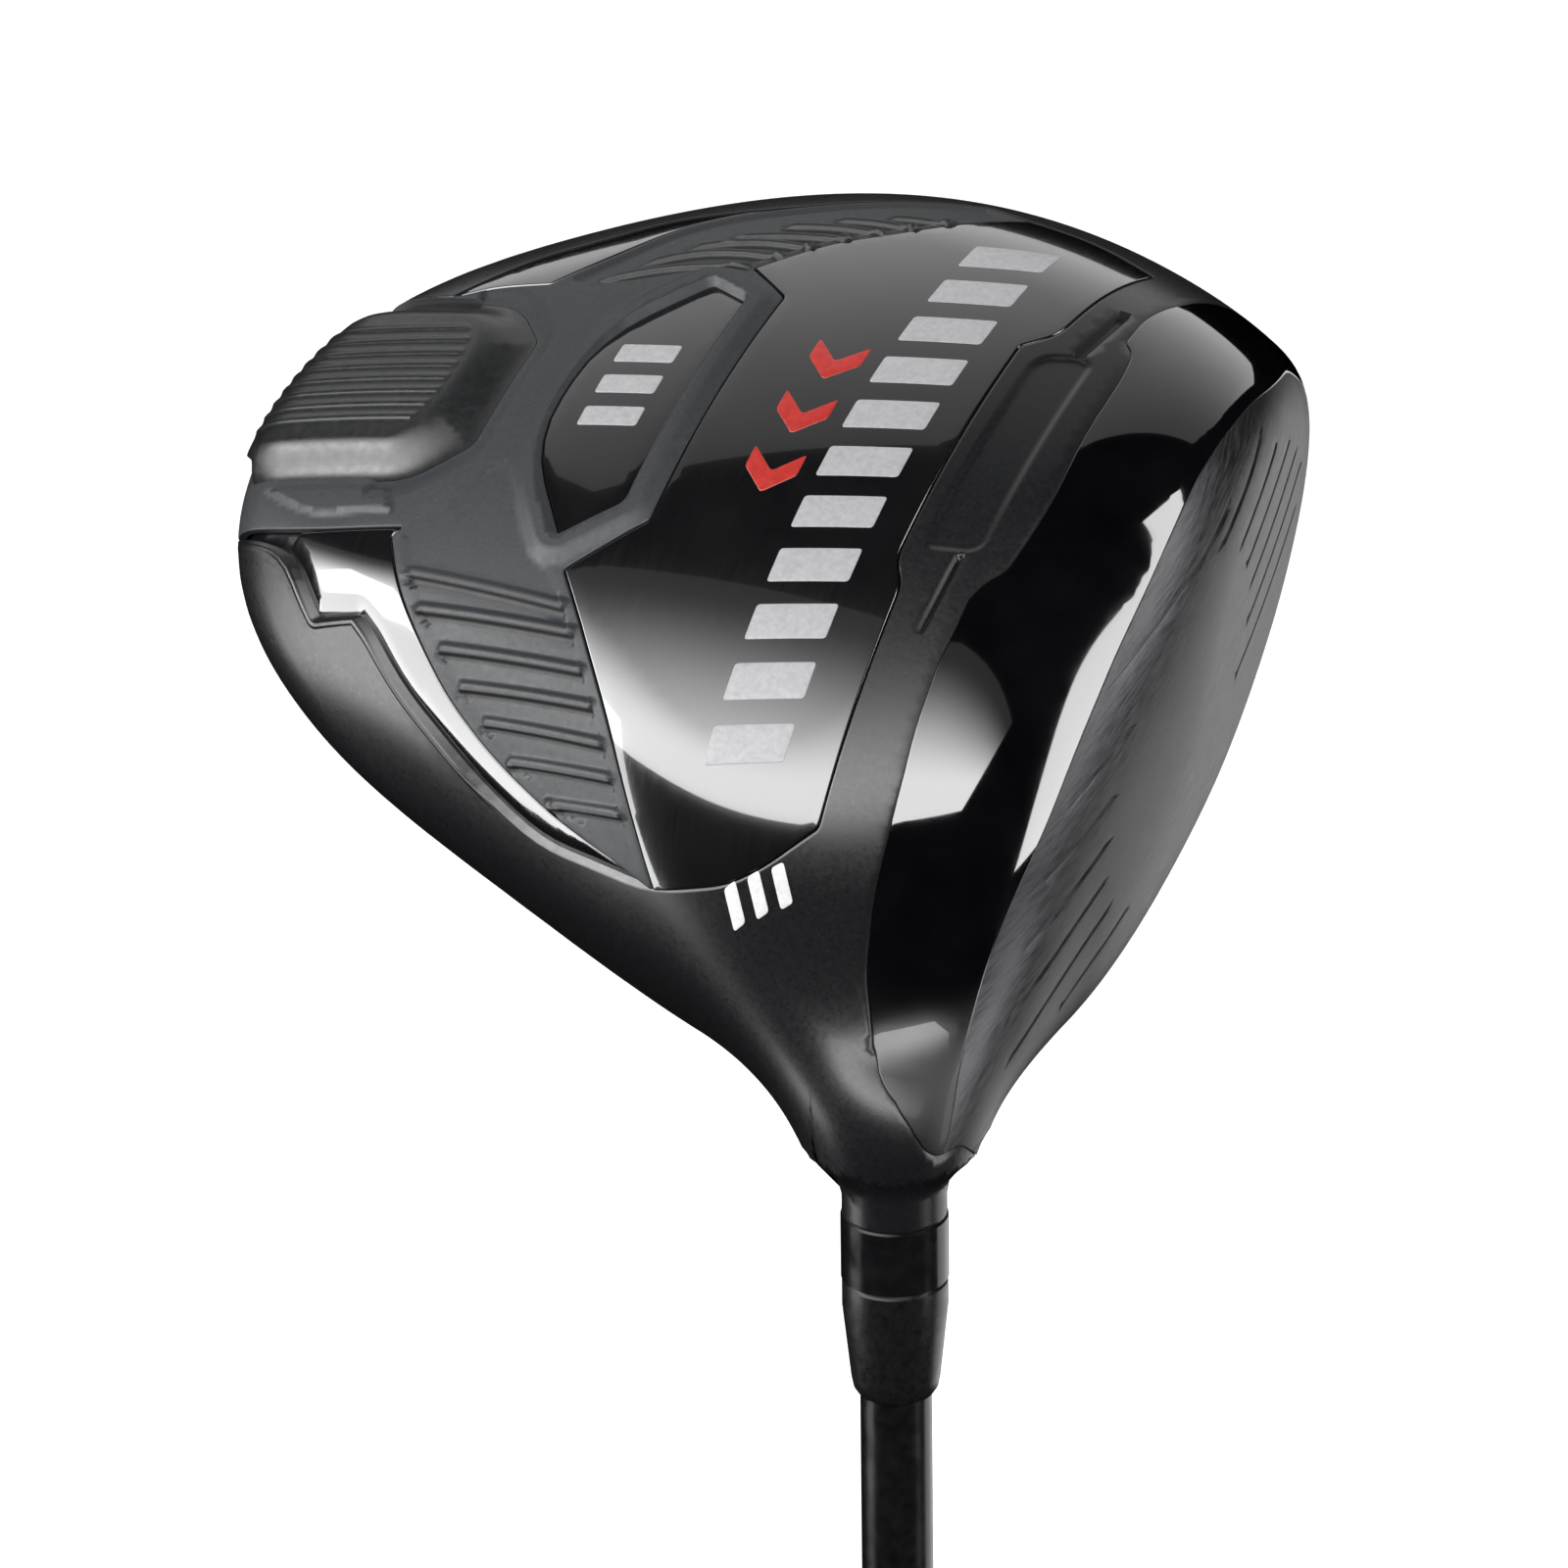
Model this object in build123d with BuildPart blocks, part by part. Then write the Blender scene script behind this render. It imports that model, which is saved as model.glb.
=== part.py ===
"""Right-handed golf driver: hollow titanium head bonded to a graphite shaft with a rubber grip.

Millimetres. The origin is the middle of the butt end of the grip, +Z runs along the shaft
to the head, +X is the way the face looks, and +Y leans from the shaft toward the toe.
"""
import os
from math import atan2, cos, pi, radians, sin

import numpy as np
from build123d import *

os.makedirs("parts", exist_ok=True)

# ---- the club as a whole
hosel_end_z = 1100.0          # where the hosel stops, measured from the butt of the grip
lie = 59.5                    # shaft against the ground when the club is at rest, degrees
loft_angle = 11.0             # face leaned back, degrees
# ---- the head, in its own frame: x to the toe, y to the target, z up, face middle at x 0, y 0
face_height = 31.0            # middle of the face above the ground
face_radius = 270.0           # bulge and roll of the face
axis_x, axis_y, axis_z = -61.6, -17.4, 52.5      # middle of the hosel end
middle_x, middle_y = 4.0, -54.0                  # point that the plan outline is drawn round
plan_radii = [64.4, 66.4, 68.4, 56.4, 57.7, 63.1, 53.1, 49.7, 64.0, 87.2, 72.4, 63.8]
sole_x, sole_y, sole_rx, sole_ry = 2.0, -45.0, 95.0, 179.0
crown_x, crown_y, crown_z, crown_rx, crown_ry = 0.0, -30.0, 66.0, 112.0, 109.0
sole_blend, crown_blend = 23.7, 13.6
heel_point, heel_way, heel_blend = (-51.6, -54.0, 35.5), (-0.885, -0.301, 0.356), 8.3
plate_depth = 0.6             # thickness of the panels let into the sole
groove_depth = 0.35
wall = 1.3                    # outside of the head to the cavity
face_wall = 2.8
cup_back = -16.2              # the face cup ends on this y
crown_edge = 33.0             # the crown starts at this height
# ---- hosel, ferrule, shaft
hosel_r, collar_r, collar_length = 6.25, 6.4, 8.6
neck_blend, neck_start = 26.0, 7.0    # how widely the hosel flows into the heel
ferrule_length, ferrule_small_r = 14.9, 5.3
bore_r, bore_depth = 4.5, 14.0
# ---- weight at the back and glue pad on the floor, both inside
weight_x, weight_y, weight_wide, weight_deep, weight_top = 10.5, -104.0, 26.0, 16.0, 17.5
pad_x, pad_y, pad_wide, pad_deep, pad_thick = -18.0, -38.0, 30.0, 16.0, 1.5
tip_r, tip_straight, shaft_wall = 4.255, 92.0, 1.2
butt_r, butt_inset = 7.62, 4.0
# ---- grip
grip_length, grip_mouth_r, grip_butt_r, grip_cap_r = 268.0, 8.9, 13.2, 14.2
grip_cap_thick, tape_thick, vent_r = 4.0, 0.35, 1.6

tilt = radians(lie)
toe_way = (0.0, sin(tilt), cos(tilt))
up_way = (0.0, cos(tilt), -sin(tilt))


def place(x, y, z):
    """Point of the head's own frame, given in the frame of the whole club."""
    dx, dz = x - axis_x, z - axis_z
    return (y - axis_y,
            sin(tilt) * dx + cos(tilt) * dz,
            hosel_end_z + cos(tilt) * dx - sin(tilt) * dz)


ground = Plane(origin=place(0, 0, 0), x_dir=toe_way, z_dir=up_way)


def closed_spline(values):
    """Slopes of a smooth closed curve through evenly spaced values."""
    count = len(values)
    step = 2 * pi / count
    matrix = np.zeros((count, count))
    for i in range(count):
        matrix[i, i] = 4.0
        matrix[i, (i + 1) % count] = 1.0
        matrix[i, i - 1] = 1.0
    rise = np.roll(values, -1) - np.roll(values, 1)
    return np.linalg.solve(matrix, 3.0 * rise / step)


radii = np.array(plan_radii)
slopes = closed_spline(radii)


def plan_radius(angle):
    step = 2 * pi / len(radii)
    place_on = np.mod(angle, 2 * pi) / step
    i = np.floor(place_on).astype(int) % len(radii)
    t = place_on - np.floor(place_on)
    j = (i + 1) % len(radii)
    return (radii[i] * (1 + 2 * t) * (1 - t) ** 2 + slopes[i] * step * t * (1 - t) ** 2
            + radii[j] * t * t * (3 - 2 * t) + slopes[j] * step * t * t * (t - 1))


def soft_max(a, b, width):
    lap = np.maximum(width - np.abs(a - b), 0) / width
    return np.maximum(a, b) + lap * lap * width / 4


def outside(x, y, z):
    """About how far a point lies outside the head, leaving the face aside."""
    floor = (x - sole_x) ** 2 / (2 * sole_rx) + (y - sole_y) ** 2 / (2 * sole_ry)
    floor_slope = np.sqrt(1 + ((x - sole_x) / sole_rx) ** 2 + ((y - sole_y) / sole_ry) ** 2)
    roof = crown_z - (x - crown_x) ** 2 / (2 * crown_rx) - (y - crown_y) ** 2 / (2 * crown_ry)
    roof_slope = np.sqrt(1 + ((x - crown_x) / crown_rx) ** 2 + ((y - crown_y) / crown_ry) ** 2)
    dx, dy = x - middle_x, y - middle_y
    side = np.hypot(dx, dy) - plan_radius(np.arctan2(dy, dx))
    below = soft_max((floor - z) / floor_slope, side, sole_blend)
    whole = soft_max(below, (z - roof) / roof_slope, crown_blend)
    heel = (heel_way[0] * (x - heel_point[0]) + heel_way[1] * (y - heel_point[1])
            + heel_way[2] * (z - heel_point[2]))
    return soft_max(whole, heel, heel_blend)


lean = radians(loft_angle)


def outside_with_neck(px, py, height):
    """The same with the face and the hosel, px and py across the shaft, height from the butt."""
    rise = height - hosel_end_z
    x = axis_x + sin(tilt) * py + cos(tilt) * rise
    y = axis_y + px
    z = axis_z + cos(tilt) * py - sin(tilt) * rise
    centre = np.array(slice_point(-face_radius, 0.0, 0.0))
    ball = np.sqrt((x - centre[0]) ** 2 + (y - centre[1]) ** 2 + (z - centre[2]) ** 2)
    head = soft_max(outside(x, y, z), ball - face_radius, 5.0)
    width = neck_blend * min(max(rise / neck_start, 0.02), 1.0)
    return -soft_max(-head, hosel_r - np.hypot(px, py), width)


def slice_point(s, x, w):
    """Point of a slice parallel to the face, s in front of the face's middle."""
    return x, s * cos(lean) - w * sin(lean), face_height + s * sin(lean) + w * cos(lean)


turns = np.arange(28) * 2 * pi / 28


def slice_outline(s, depth):
    """Outline of one slice, as flat points, for the surface that lies depth inside the head."""
    heights = np.linspace(-40, 45, 341)
    inside = outside(*slice_point(s, np.full(341, 10.0), heights)) < -depth
    if not inside.any():
        return None
    w0 = heights[inside].mean()
    reach = np.linspace(-70, 70, 281)
    across = outside(*slice_point(s, reach, np.full(281, w0))) < -depth
    x0 = reach[across].mean()
    near, far = np.zeros(len(turns)), np.full(len(turns), 110.0)
    for _ in range(40):
        r = (near + far) / 2
        value = outside(*slice_point(s, x0 + r * np.cos(turns), w0 + r * np.sin(turns)))
        near = np.where(value < -depth, r, near)
        far = np.where(value < -depth, far, r)
    return np.stack([x0 + near * np.cos(turns), w0 + near * np.sin(turns)], -1)


def slices(depth):
    """Slices from the tail to a little past the face."""
    tail = next(s for s in np.arange(-124.0, -90.0, 0.1) if slice_outline(s, depth) is not None)
    stations = [tail + 0.5, tail + 1.6, tail + 4.0, tail + 8.5, tail + 16.0, tail + 27.0,
                -80.0, -66.0, -52.0, -38.0, -25.0, -14.5, -7.0]
    outlines = [slice_outline(s, depth) for s in stations]
    ahead = outlines[-1] + (outlines[-1] - outlines[-2]) * (10.0 / 7.5) * 0.8
    return stations + [3.0], outlines + [ahead]


def slice_plane(s):
    origin = place(*slice_point(s, 0.0, 0.0))
    here = np.array(place(0, 0, 0))
    ahead = np.array(place(0, cos(lean), sin(lean))) - here
    return Plane(origin=origin, x_dir=toe_way, z_dir=tuple(-ahead))


def head_solid(depth, face_depth):
    """Smooth solid of the head, depth inside its skin and face_depth behind its face."""
    with BuildPart() as solid:
        for s, outline in zip(*slices(depth)):
            with BuildSketch(slice_plane(s)):
                with BuildLine():
                    Spline(*[tuple(p) for p in outline], periodic=True)
                make_face()
        loft()
        centre = place(*slice_point(-face_radius, 0.0, 0.0))
        with Locations(centre):
            Sphere(face_radius - face_depth, mode=Mode.INTERSECT)
    return solid.part


# Plan outlines on the sole, in the head's own x and y.
plate_outline = [(-13.3, -109.8), (-21.5, -102.8), (-21.6, -96.3), (-23.7, -93.5), (-29.0, -87.5),
                 (-36.6, -75.2), (-41.2, -65.7), (-46.0, -47.2), (-45.0, -37.2), (-42.6, -32.4),
                 (-37.6, -26.7), (-8.1, -26.3), (-5.0, -28.2), (30.1, -28.2), (33.4, -25.0),
                 (43.3, -23.8), (51.2, -22.7), (54.7, -32.1), (55.5, -40.5), (57.4, -47.9),
                 (51.8, -62.1), (48.8, -68.1), (43.5, -83.1), (38.2, -90.0), (34.4, -96.6),
                 (25.9, -105.2), (26.9, -126.0), (-9.0, -126.0)]
heel_wing = [(-12.1, -94.6), (-18.8, -90.6), (-24.4, -85.7), (-29.8, -80.1), (-33.6, -74.6),
             (-36.1, -70.3), (-39.6, -63.5), (-43.4, -54.1), (-46.0, -47.2), (-42.1, -49.8),
             (-31.5, -56.4), (-20.4, -64.4), (-14.7, -68.8)]
frame_outline = heel_wing + [(-6.7, -60.3), (30.0, -59.7), (34.5, -66.4), (41.6, -59.4),
                             (45.8, -52.4), (50.6, -46.6), (55.6, -41.5), (57.4, -47.9),
                             (51.8, -62.1), (48.8, -68.1), (45.4, -75.5),
                             (41.2, -80.9), (35.1, -85.7), (28.5, -92.1), (27.6, -100.5),
                             (25.9, -105.2), (26.9, -126.0), (-9.0, -126.0),
                             (-11.4, -108.6), (-10.8, -93.5)]
badge_outline = [(30.9, -70.0), (28.5, -64.1), (-4.9, -64.6), (-10.4, -71.5), (2.4, -80.9),
                 (19.3, -79.9)]
toe_outline = [(25.9, -105.2), (27.6, -100.5), (28.5, -92.1), (35.1, -85.7), (41.2, -80.9),
               (45.4, -75.5), (48.8, -68.1), (43.5, -83.1), (38.2, -90.0),
               (34.4, -96.6)]
cover_outline = [(26.9, -126.0), (24.8, -94.5), (18.6, -88.6), (1.7, -89.3), (-4.1, -96.2),
                 (-3.5, -126.0)]
rib_heel = [((-16.6, -90.2), (-19.2, -66.5)), ((-20.9, -87.3), (-22.2, -64.1)),
            ((-25.0, -82.9), (-26.4, -61.4)), ((-28.6, -79.0), (-30.1, -58.9)),
            ((-31.8, -74.8), (-33.9, -56.1)), ((-35.2, -70.3), (-37.1, -54.1)),
            ((-38.8, -64.0), (-40.2, -52.2))]

def neck_outline(height):
    """Outline of the neck, square across the shaft at a height from the butt."""
    grid = np.arange(-40.0, 60.0, 0.5)
    gx, gy = np.meshgrid(grid, grid, indexing="ij")
    inside = (outside_with_neck(gx, gy, height) < 0) & (np.hypot(gx, gy) < neck_reach)
    x0, y0 = gx[inside].mean(), gy[inside].mean()
    near, far = np.zeros(len(turns)), np.full(len(turns), 2 * neck_reach)
    for _ in range(40):
        r = (near + far) / 2
        px, py = x0 + r * np.cos(turns), y0 + r * np.sin(turns)
        held = np.maximum(outside_with_neck(px, py, height), np.hypot(px, py) - neck_reach) < 0
        near = np.where(held, r, near)
        far = np.where(held, far, r)
    return [(x0 + r * cos(t), y0 + r * sin(t)) for r, t in zip(near, turns)]


neck_reach = 14.0


def prism(outline, low=-14.0, high=22.0):
    """Upright block over a plan outline on the sole."""
    with BuildPart() as block:
        with BuildSketch(ground.offset(low)):
            with BuildLine():
                Polyline(*outline, close=True)
            make_face()
        extrude(amount=high - low)
    return block.part


def strip(start, end, width):
    """Plan outline of a straight groove from start to end."""
    run = np.array(end) - np.array(start)
    side = np.array([-run[1], run[0]]) / np.hypot(*run) * width / 2
    a, b = np.array(start), np.array(end)
    return [tuple(a + side), tuple(b + side), tuple(b - side), tuple(a - side)]


def slab(x0, x1, y0, y1, z0, z1):
    """Block in the head's own frame."""
    with BuildPart() as block:
        with BuildSketch(ground.offset(z0)):
            with Locations(((x0 + x1) / 2, (y0 + y1) / 2)):
                Rectangle(x1 - x0, y1 - y0)
        extrude(amount=z1 - z0)
    return block.part


def rod(radius, start, end):
    """Cylinder on the shaft's axis between two heights."""
    with BuildPart() as round_bar:
        with BuildSketch(Plane.XY.offset(start)):
            Circle(radius)
        extrude(amount=end - start)
    return round_bar.part


heel_outline = plate_outline[:8] + heel_wing[7::-1] + [(-10.8, -93.5), (-11.4, -108.6)]
main_outline = heel_wing[8:] + [(-6.7, -60.3), (30.0, -59.7), (34.5, -66.4), (41.6, -59.4),
                                (45.8, -52.4), (50.6, -46.6), (55.6, -41.5)] \
    + plate_outline[18:8:-1] + [(-45.0, -37.2)]

rib_toe = [((30.6, -83.9), (34.6, -69.0)), ((34.4, -79.3), (37.4, -65.6)),
           ((37.9, -75.9), (40.0, -62.5)), ((40.9, -70.0), (42.7, -59.2)),
           ((44.1, -66.5), (45.2, -56.2)), ((46.8, -60.9), (47.3, -52.3)),
           ((49.2, -55.2), (49.7, -48.7))]

outer = head_solid(0.0, 0.0)
under = head_solid(plate_depth, plate_depth)
groove_floor = head_solid(groove_depth, groove_depth)
cavity = head_solid(wall, face_wall)

with BuildPart() as neck:
    for rise in (0.0, 3.0, 6.0, 9.0, 12.0, 15.0):
        with BuildSketch(Plane.XY.offset(hosel_end_z + rise)):
            with BuildLine():
                Spline(*neck_outline(hosel_end_z + rise), periodic=True)
            make_face()
    loft()

# ---- head shell: body with hosel, crown, face cup
neck_zone = rod(neck_reach + 0.15, hosel_end_z - 1.0, hosel_end_z + 60.0)
cup_zone = slab(-90, 90, cup_back, 30, -20, 90)
crown_zone = slab(-90, 90, -140, cup_back + 1.0, crown_edge, 95)

with BuildPart() as face_cup:
    add(outer)
    add(cavity, mode=Mode.SUBTRACT)
    add(cup_zone, mode=Mode.INTERSECT)
    add(neck_zone, mode=Mode.SUBTRACT)
face_cup.part.label = "face_cup"

with BuildPart() as crown_shell:
    add(outer)
    add(cavity, mode=Mode.SUBTRACT)
    add(crown_zone, mode=Mode.INTERSECT)
    add(cup_zone, mode=Mode.SUBTRACT)
    add(neck_zone, mode=Mode.SUBTRACT)
crown_shell.part.label = "crown_shell"

with BuildPart() as panel_seat:
    add(prism(plate_outline))
    add(under, mode=Mode.SUBTRACT)

with BuildPart() as other_shells:
    add(cup_zone)
    add(crown_zone)
    add(neck_zone, mode=Mode.SUBTRACT)

with BuildPart() as body_shell:
    add(outer)
    add(cavity, mode=Mode.SUBTRACT)
    add(other_shells.part, mode=Mode.SUBTRACT)
    add(panel_seat.part, mode=Mode.SUBTRACT)
    add(neck.part)
    add(rod(hosel_r - 0.4, hosel_end_z + 8.0, hosel_end_z + bore_depth + 3.0))
    add(rod(bore_r, hosel_end_z - 1.0, hosel_end_z + bore_depth), mode=Mode.SUBTRACT)
body_shell.part.label = "body_shell"


def let_in(outline):
    """Piece of the layer between the skin and the seat under it."""
    with BuildPart() as layer:
        add(outer)
        add(prism(outline), mode=Mode.INTERSECT)
        add(under, mode=Mode.SUBTRACT)
    return layer.part


def cut_down(outline):
    """What has to go for a groove of this outline."""
    with BuildPart() as spare:
        add(prism(outline))
        add(groove_floor, mode=Mode.SUBTRACT)
    return spare.part


# ---- panels let into the sole
with BuildPart() as sole_plate:
    add(let_in(main_outline))
sole_plate.part.label = "sole_plate"

with BuildPart() as heel_panel:
    add(let_in(heel_outline))
heel_panel.part.label = "heel_panel"

with BuildPart() as toe_panel:
    add(let_in(toe_outline))
toe_panel.part.label = "toe_panel"

with BuildPart() as rib_frame:
    add(let_in(frame_outline))
    add(prism(badge_outline), mode=Mode.SUBTRACT)
    add(prism(cover_outline), mode=Mode.SUBTRACT)
    for start, end in rib_heel:
        add(cut_down(strip(start, end, 1.4)), mode=Mode.SUBTRACT)
    for start, end in rib_toe:
        add(cut_down(strip(start, end, 1.2)), mode=Mode.SUBTRACT)
rib_frame.part.label = "rib_frame"

with BuildPart() as sole_badge:
    add(let_in(badge_outline))
sole_badge.part.label = "sole_badge"

with BuildPart() as rear_cover:
    add(let_in(cover_outline))
    for row in range(8):
        along = 3.4 + 2.3 * row
        add(cut_down(strip((along, -98.0), (along, -123.0), 0.8)), mode=Mode.SUBTRACT)
rear_cover.part.label = "rear_cover"

# ---- inside the head
with BuildPart() as rear_weight:
    with BuildSketch(ground.offset(0.0)):
        with Locations((weight_x, weight_y)):
            RectangleRounded(weight_wide, weight_deep, 4.0)
    extrude(amount=weight_top)
    add(cavity, mode=Mode.INTERSECT)
rear_weight.part.label = "rear_weight"

with BuildPart() as damping_pad:
    with BuildSketch(ground.offset(-5.0)):
        with Locations((pad_x, pad_y)):
            Ellipse(pad_wide / 2, pad_deep / 2)
    extrude(amount=20.0)
    add(cavity, mode=Mode.INTERSECT)
    lift = Location(tuple(np.array(place(0, 0, pad_thick)) - np.array(place(0, 0, 0))))
    add(cavity.moved(lift), mode=Mode.SUBTRACT)
damping_pad.part.label = "damping_pad"

# ---- hosel joint
with BuildPart() as hosel_collar:
    with BuildSketch(Plane.XY.offset(hosel_end_z - collar_length)):
        Circle(collar_r)
        Circle(bore_r, mode=Mode.SUBTRACT)
    extrude(amount=collar_length)
    rims = hosel_collar.edges().filter_by(GeomType.CIRCLE).group_by(SortBy.RADIUS)[-1]
    chamfer(rims, 0.3)
hosel_collar.part.label = "hosel_collar"

ferrule_top = hosel_end_z - collar_length
ferrule_foot = ferrule_top - ferrule_length
with BuildPart() as ferrule:
    with BuildSketch(Plane.XZ):
        with BuildLine():
            Polyline((tip_r, ferrule_top), (collar_r - 0.1, ferrule_top),
                     (collar_r - 0.1, ferrule_top - 3.5), (ferrule_small_r, ferrule_foot + 2.0))
            Spline((ferrule_small_r, ferrule_foot + 2.0), (ferrule_small_r - 0.25, ferrule_foot + 0.7),
                   (tip_r + 0.35, ferrule_foot))
            Polyline((tip_r + 0.35, ferrule_foot), (tip_r, ferrule_foot), (tip_r, ferrule_top))
        make_face()
    revolve(axis=Axis.Z)
ferrule.part.label = "ferrule"

tip_z = hosel_end_z + bore_depth - 2.0
with BuildPart() as epoxy_sleeve:
    with BuildSketch(Plane.XY.offset(ferrule_top)):
        Circle(bore_r)
        Circle(tip_r, mode=Mode.SUBTRACT)
    extrude(amount=tip_z - ferrule_top)
epoxy_sleeve.part.label = "epoxy_sleeve"

# ---- shaft: parallel tip, then one long taper to the butt
straight_z = tip_z - tip_straight
with BuildPart() as shaft:
    with BuildSketch(Plane.XZ):
        with BuildLine():
            Polyline((butt_r, butt_inset), (tip_r, straight_z), (tip_r, tip_z),
                     (tip_r - shaft_wall, tip_z), (tip_r - shaft_wall, straight_z),
                     (butt_r - shaft_wall, butt_inset), close=True)
        make_face()
    revolve(axis=Axis.Z)
shaft.part.label = "shaft"

# ---- grip: tape on the shaft, rubber over the tape, moulded cap with its vent hole


def shaft_radius(height):
    share = (height - butt_inset) / (straight_z - butt_inset)
    return butt_r + (tip_r - butt_r) * share


tape_end = grip_length - 6.0
with BuildPart() as grip_tape:
    with BuildSketch(Plane.XZ):
        with BuildLine():
            Polyline((shaft_radius(butt_inset), butt_inset), (shaft_radius(tape_end), tape_end),
                     (shaft_radius(tape_end) + tape_thick, tape_end),
                     (shaft_radius(butt_inset) + tape_thick, butt_inset), close=True)
        make_face()
    revolve(axis=Axis.Z)
grip_tape.part.label = "grip_tape"

with BuildPart() as grip:
    with BuildSketch(Plane.XZ):
        with BuildLine():
            Polyline((shaft_radius(grip_length), grip_length),
                     (shaft_radius(tape_end), tape_end),
                     (shaft_radius(tape_end) + tape_thick, tape_end),
                     (shaft_radius(butt_inset) + tape_thick, butt_inset),
                     (grip_butt_r, butt_inset))
            Spline((grip_butt_r, butt_inset), (12.1, 60.0), (10.9, 130.0), (9.9, 200.0),
                   (grip_mouth_r, grip_length - 2.0))
            Polyline((grip_mouth_r, grip_length - 2.0), (grip_mouth_r - 1.2, grip_length),
                     (shaft_radius(grip_length), grip_length))
        make_face()
    revolve(axis=Axis.Z)
grip.part.label = "grip"

with BuildPart() as grip_cap:
    with BuildSketch(Plane.XY):
        Circle(grip_cap_r)
    extrude(amount=grip_cap_thick)
    fillet(grip_cap.faces().sort_by(Axis.Z)[0].edges(), 2.2)
    fillet(grip_cap.faces().sort_by(Axis.Z)[-1].edges(), 0.9)
    with BuildSketch(Plane.XY):
        Circle(vent_r)
    extrude(amount=grip_cap_thick, mode=Mode.SUBTRACT)
grip_cap.part.label = "grip_cap"

pieces = [body_shell, crown_shell, face_cup, sole_plate, heel_panel, toe_panel, rib_frame,
          sole_badge, rear_cover, rear_weight, damping_pad, hosel_collar, ferrule, epoxy_sleeve, shaft,
          grip_tape, grip, grip_cap]
for piece in pieces:
    export_step(piece.part, f"parts/{piece.part.label}.step")
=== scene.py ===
"""A right-handed golf driver, head up, seen on its sole and face.

The head's skin is one smooth shape worked out from a few sizes. Each panel is a mesh laid on that
skin, and its ribs, grooves and bevels are heights above it. Lengths are in millimetres until a mesh
is made.
"""

import bpy
import numpy as np
from mathutils import Matrix, Vector
from mathutils.geometry import delaunay_2d_cdt


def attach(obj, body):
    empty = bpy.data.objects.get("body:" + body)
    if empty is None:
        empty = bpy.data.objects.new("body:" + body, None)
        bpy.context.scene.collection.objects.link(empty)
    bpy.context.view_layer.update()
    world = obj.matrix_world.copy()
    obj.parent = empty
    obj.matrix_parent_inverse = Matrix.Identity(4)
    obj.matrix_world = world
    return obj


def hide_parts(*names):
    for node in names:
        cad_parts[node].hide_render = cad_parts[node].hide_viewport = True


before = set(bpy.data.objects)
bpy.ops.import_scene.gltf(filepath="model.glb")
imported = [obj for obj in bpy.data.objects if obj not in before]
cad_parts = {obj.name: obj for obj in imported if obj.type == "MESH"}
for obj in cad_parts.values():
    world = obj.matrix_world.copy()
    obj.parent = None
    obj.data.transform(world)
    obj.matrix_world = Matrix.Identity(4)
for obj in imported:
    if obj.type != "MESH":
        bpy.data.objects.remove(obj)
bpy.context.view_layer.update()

# ---- sizes of the club
HOSEL_END = 1100.0            # hosel's end, from the butt of the grip
LIE, LOFT = np.radians(59.5), np.radians(11.0)
FACE_HEIGHT, FACE_RADIUS = 31.0, 270.0
HOSEL_AT = np.array([-61.6, -17.4, 52.5])
HOSEL_R, COLLAR_R, COLLAR_LONG = 6.25, 6.4, 8.6
FERRULE_LONG, FERRULE_SMALL_R = 14.9, 5.3
TIP_R, STRAIGHT_FROM, BUTT_R, BUTT_AT = 4.255, 1020.0, 7.62, 4.0
SHAFT_TIP = 1112.0            # the shaft ends here, inside the hosel
GRIP_LONG = 268.0

# ---- sizes of the head, in its own frame: x to the toe, y to the target, z up
MIDDLE = (4.0, -54.0)
PLAN_RADII = np.array([64.4, 66.4, 68.4, 56.4, 57.7, 63.1, 53.1, 49.7, 64.0, 87.2, 72.4, 63.8])
SOLE = dict(x=2.0, y=-45.0, rx=95.0, ry=179.0)
CROWN = dict(x=0.0, y=-30.0, z=66.0, rx=112.0, ry=109.0)
SOLE_BLEND, CROWN_BLEND, HEEL_BLEND, FACE_BLEND = 23.7, 13.6, 8.3, 5.0
HEEL_AT, HEEL_WAY = np.array([-51.6, -54.0, 35.5]), np.array([-0.885, -0.301, 0.356])
NECK_BLEND, NECK_START, NECK_DEEP = 26.0, 7.0, 14.0

POCKET_DEEP, CUP_DEEP = 1.6, 0.9      # how far the body sinks under the panels and the face cup
PANEL_WALL = 0.6                      # height of the wall round a panel
BODY_GRID, CROWN_GRID, PANEL_GRID = 1.4, 2.2, 1.6     # mesh sizes

TOE_AXIS = np.array([np.sin(LIE), 0.0, np.cos(LIE)])      # square to the shaft, toward the toe
HEAD_AXIS = np.array([np.cos(LIE), 0.0, -np.sin(LIE)])    # along the shaft, into the head
TOE_WAY = np.array([0.0, np.sin(LIE), np.cos(LIE)])
TARGET_WAY = np.array([1.0, 0.0, 0.0])
UP_WAY = np.array([0.0, np.cos(LIE), -np.sin(LIE)])


def to_club(p):
    """Points of the head's frame in the club's frame, still in millimetres."""
    d = p - HOSEL_AT
    out = d[:, :1] * TOE_WAY + d[:, 1:2] * TARGET_WAY + d[:, 2:] * UP_WAY
    out[:, 2] += HOSEL_END
    return out


def turn_to_club(v):
    return v[:, :1] * TOE_WAY + v[:, 1:2] * TARGET_WAY + v[:, 2:] * UP_WAY


# ---- the head's skin

def loop_slopes(values):
    """Slopes that join a closed row of values smoothly."""
    count = len(values)
    matrix = np.zeros((count, count))
    for i in range(count):
        matrix[i, i] = 4.0
        matrix[i, (i + 1) % count] = 1.0
        matrix[i, i - 1] = 1.0
    rise = np.roll(values, -1) - np.roll(values, 1)
    return np.linalg.solve(matrix, 3.0 * rise)


PLAN_SLOPES = loop_slopes(PLAN_RADII)


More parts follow.
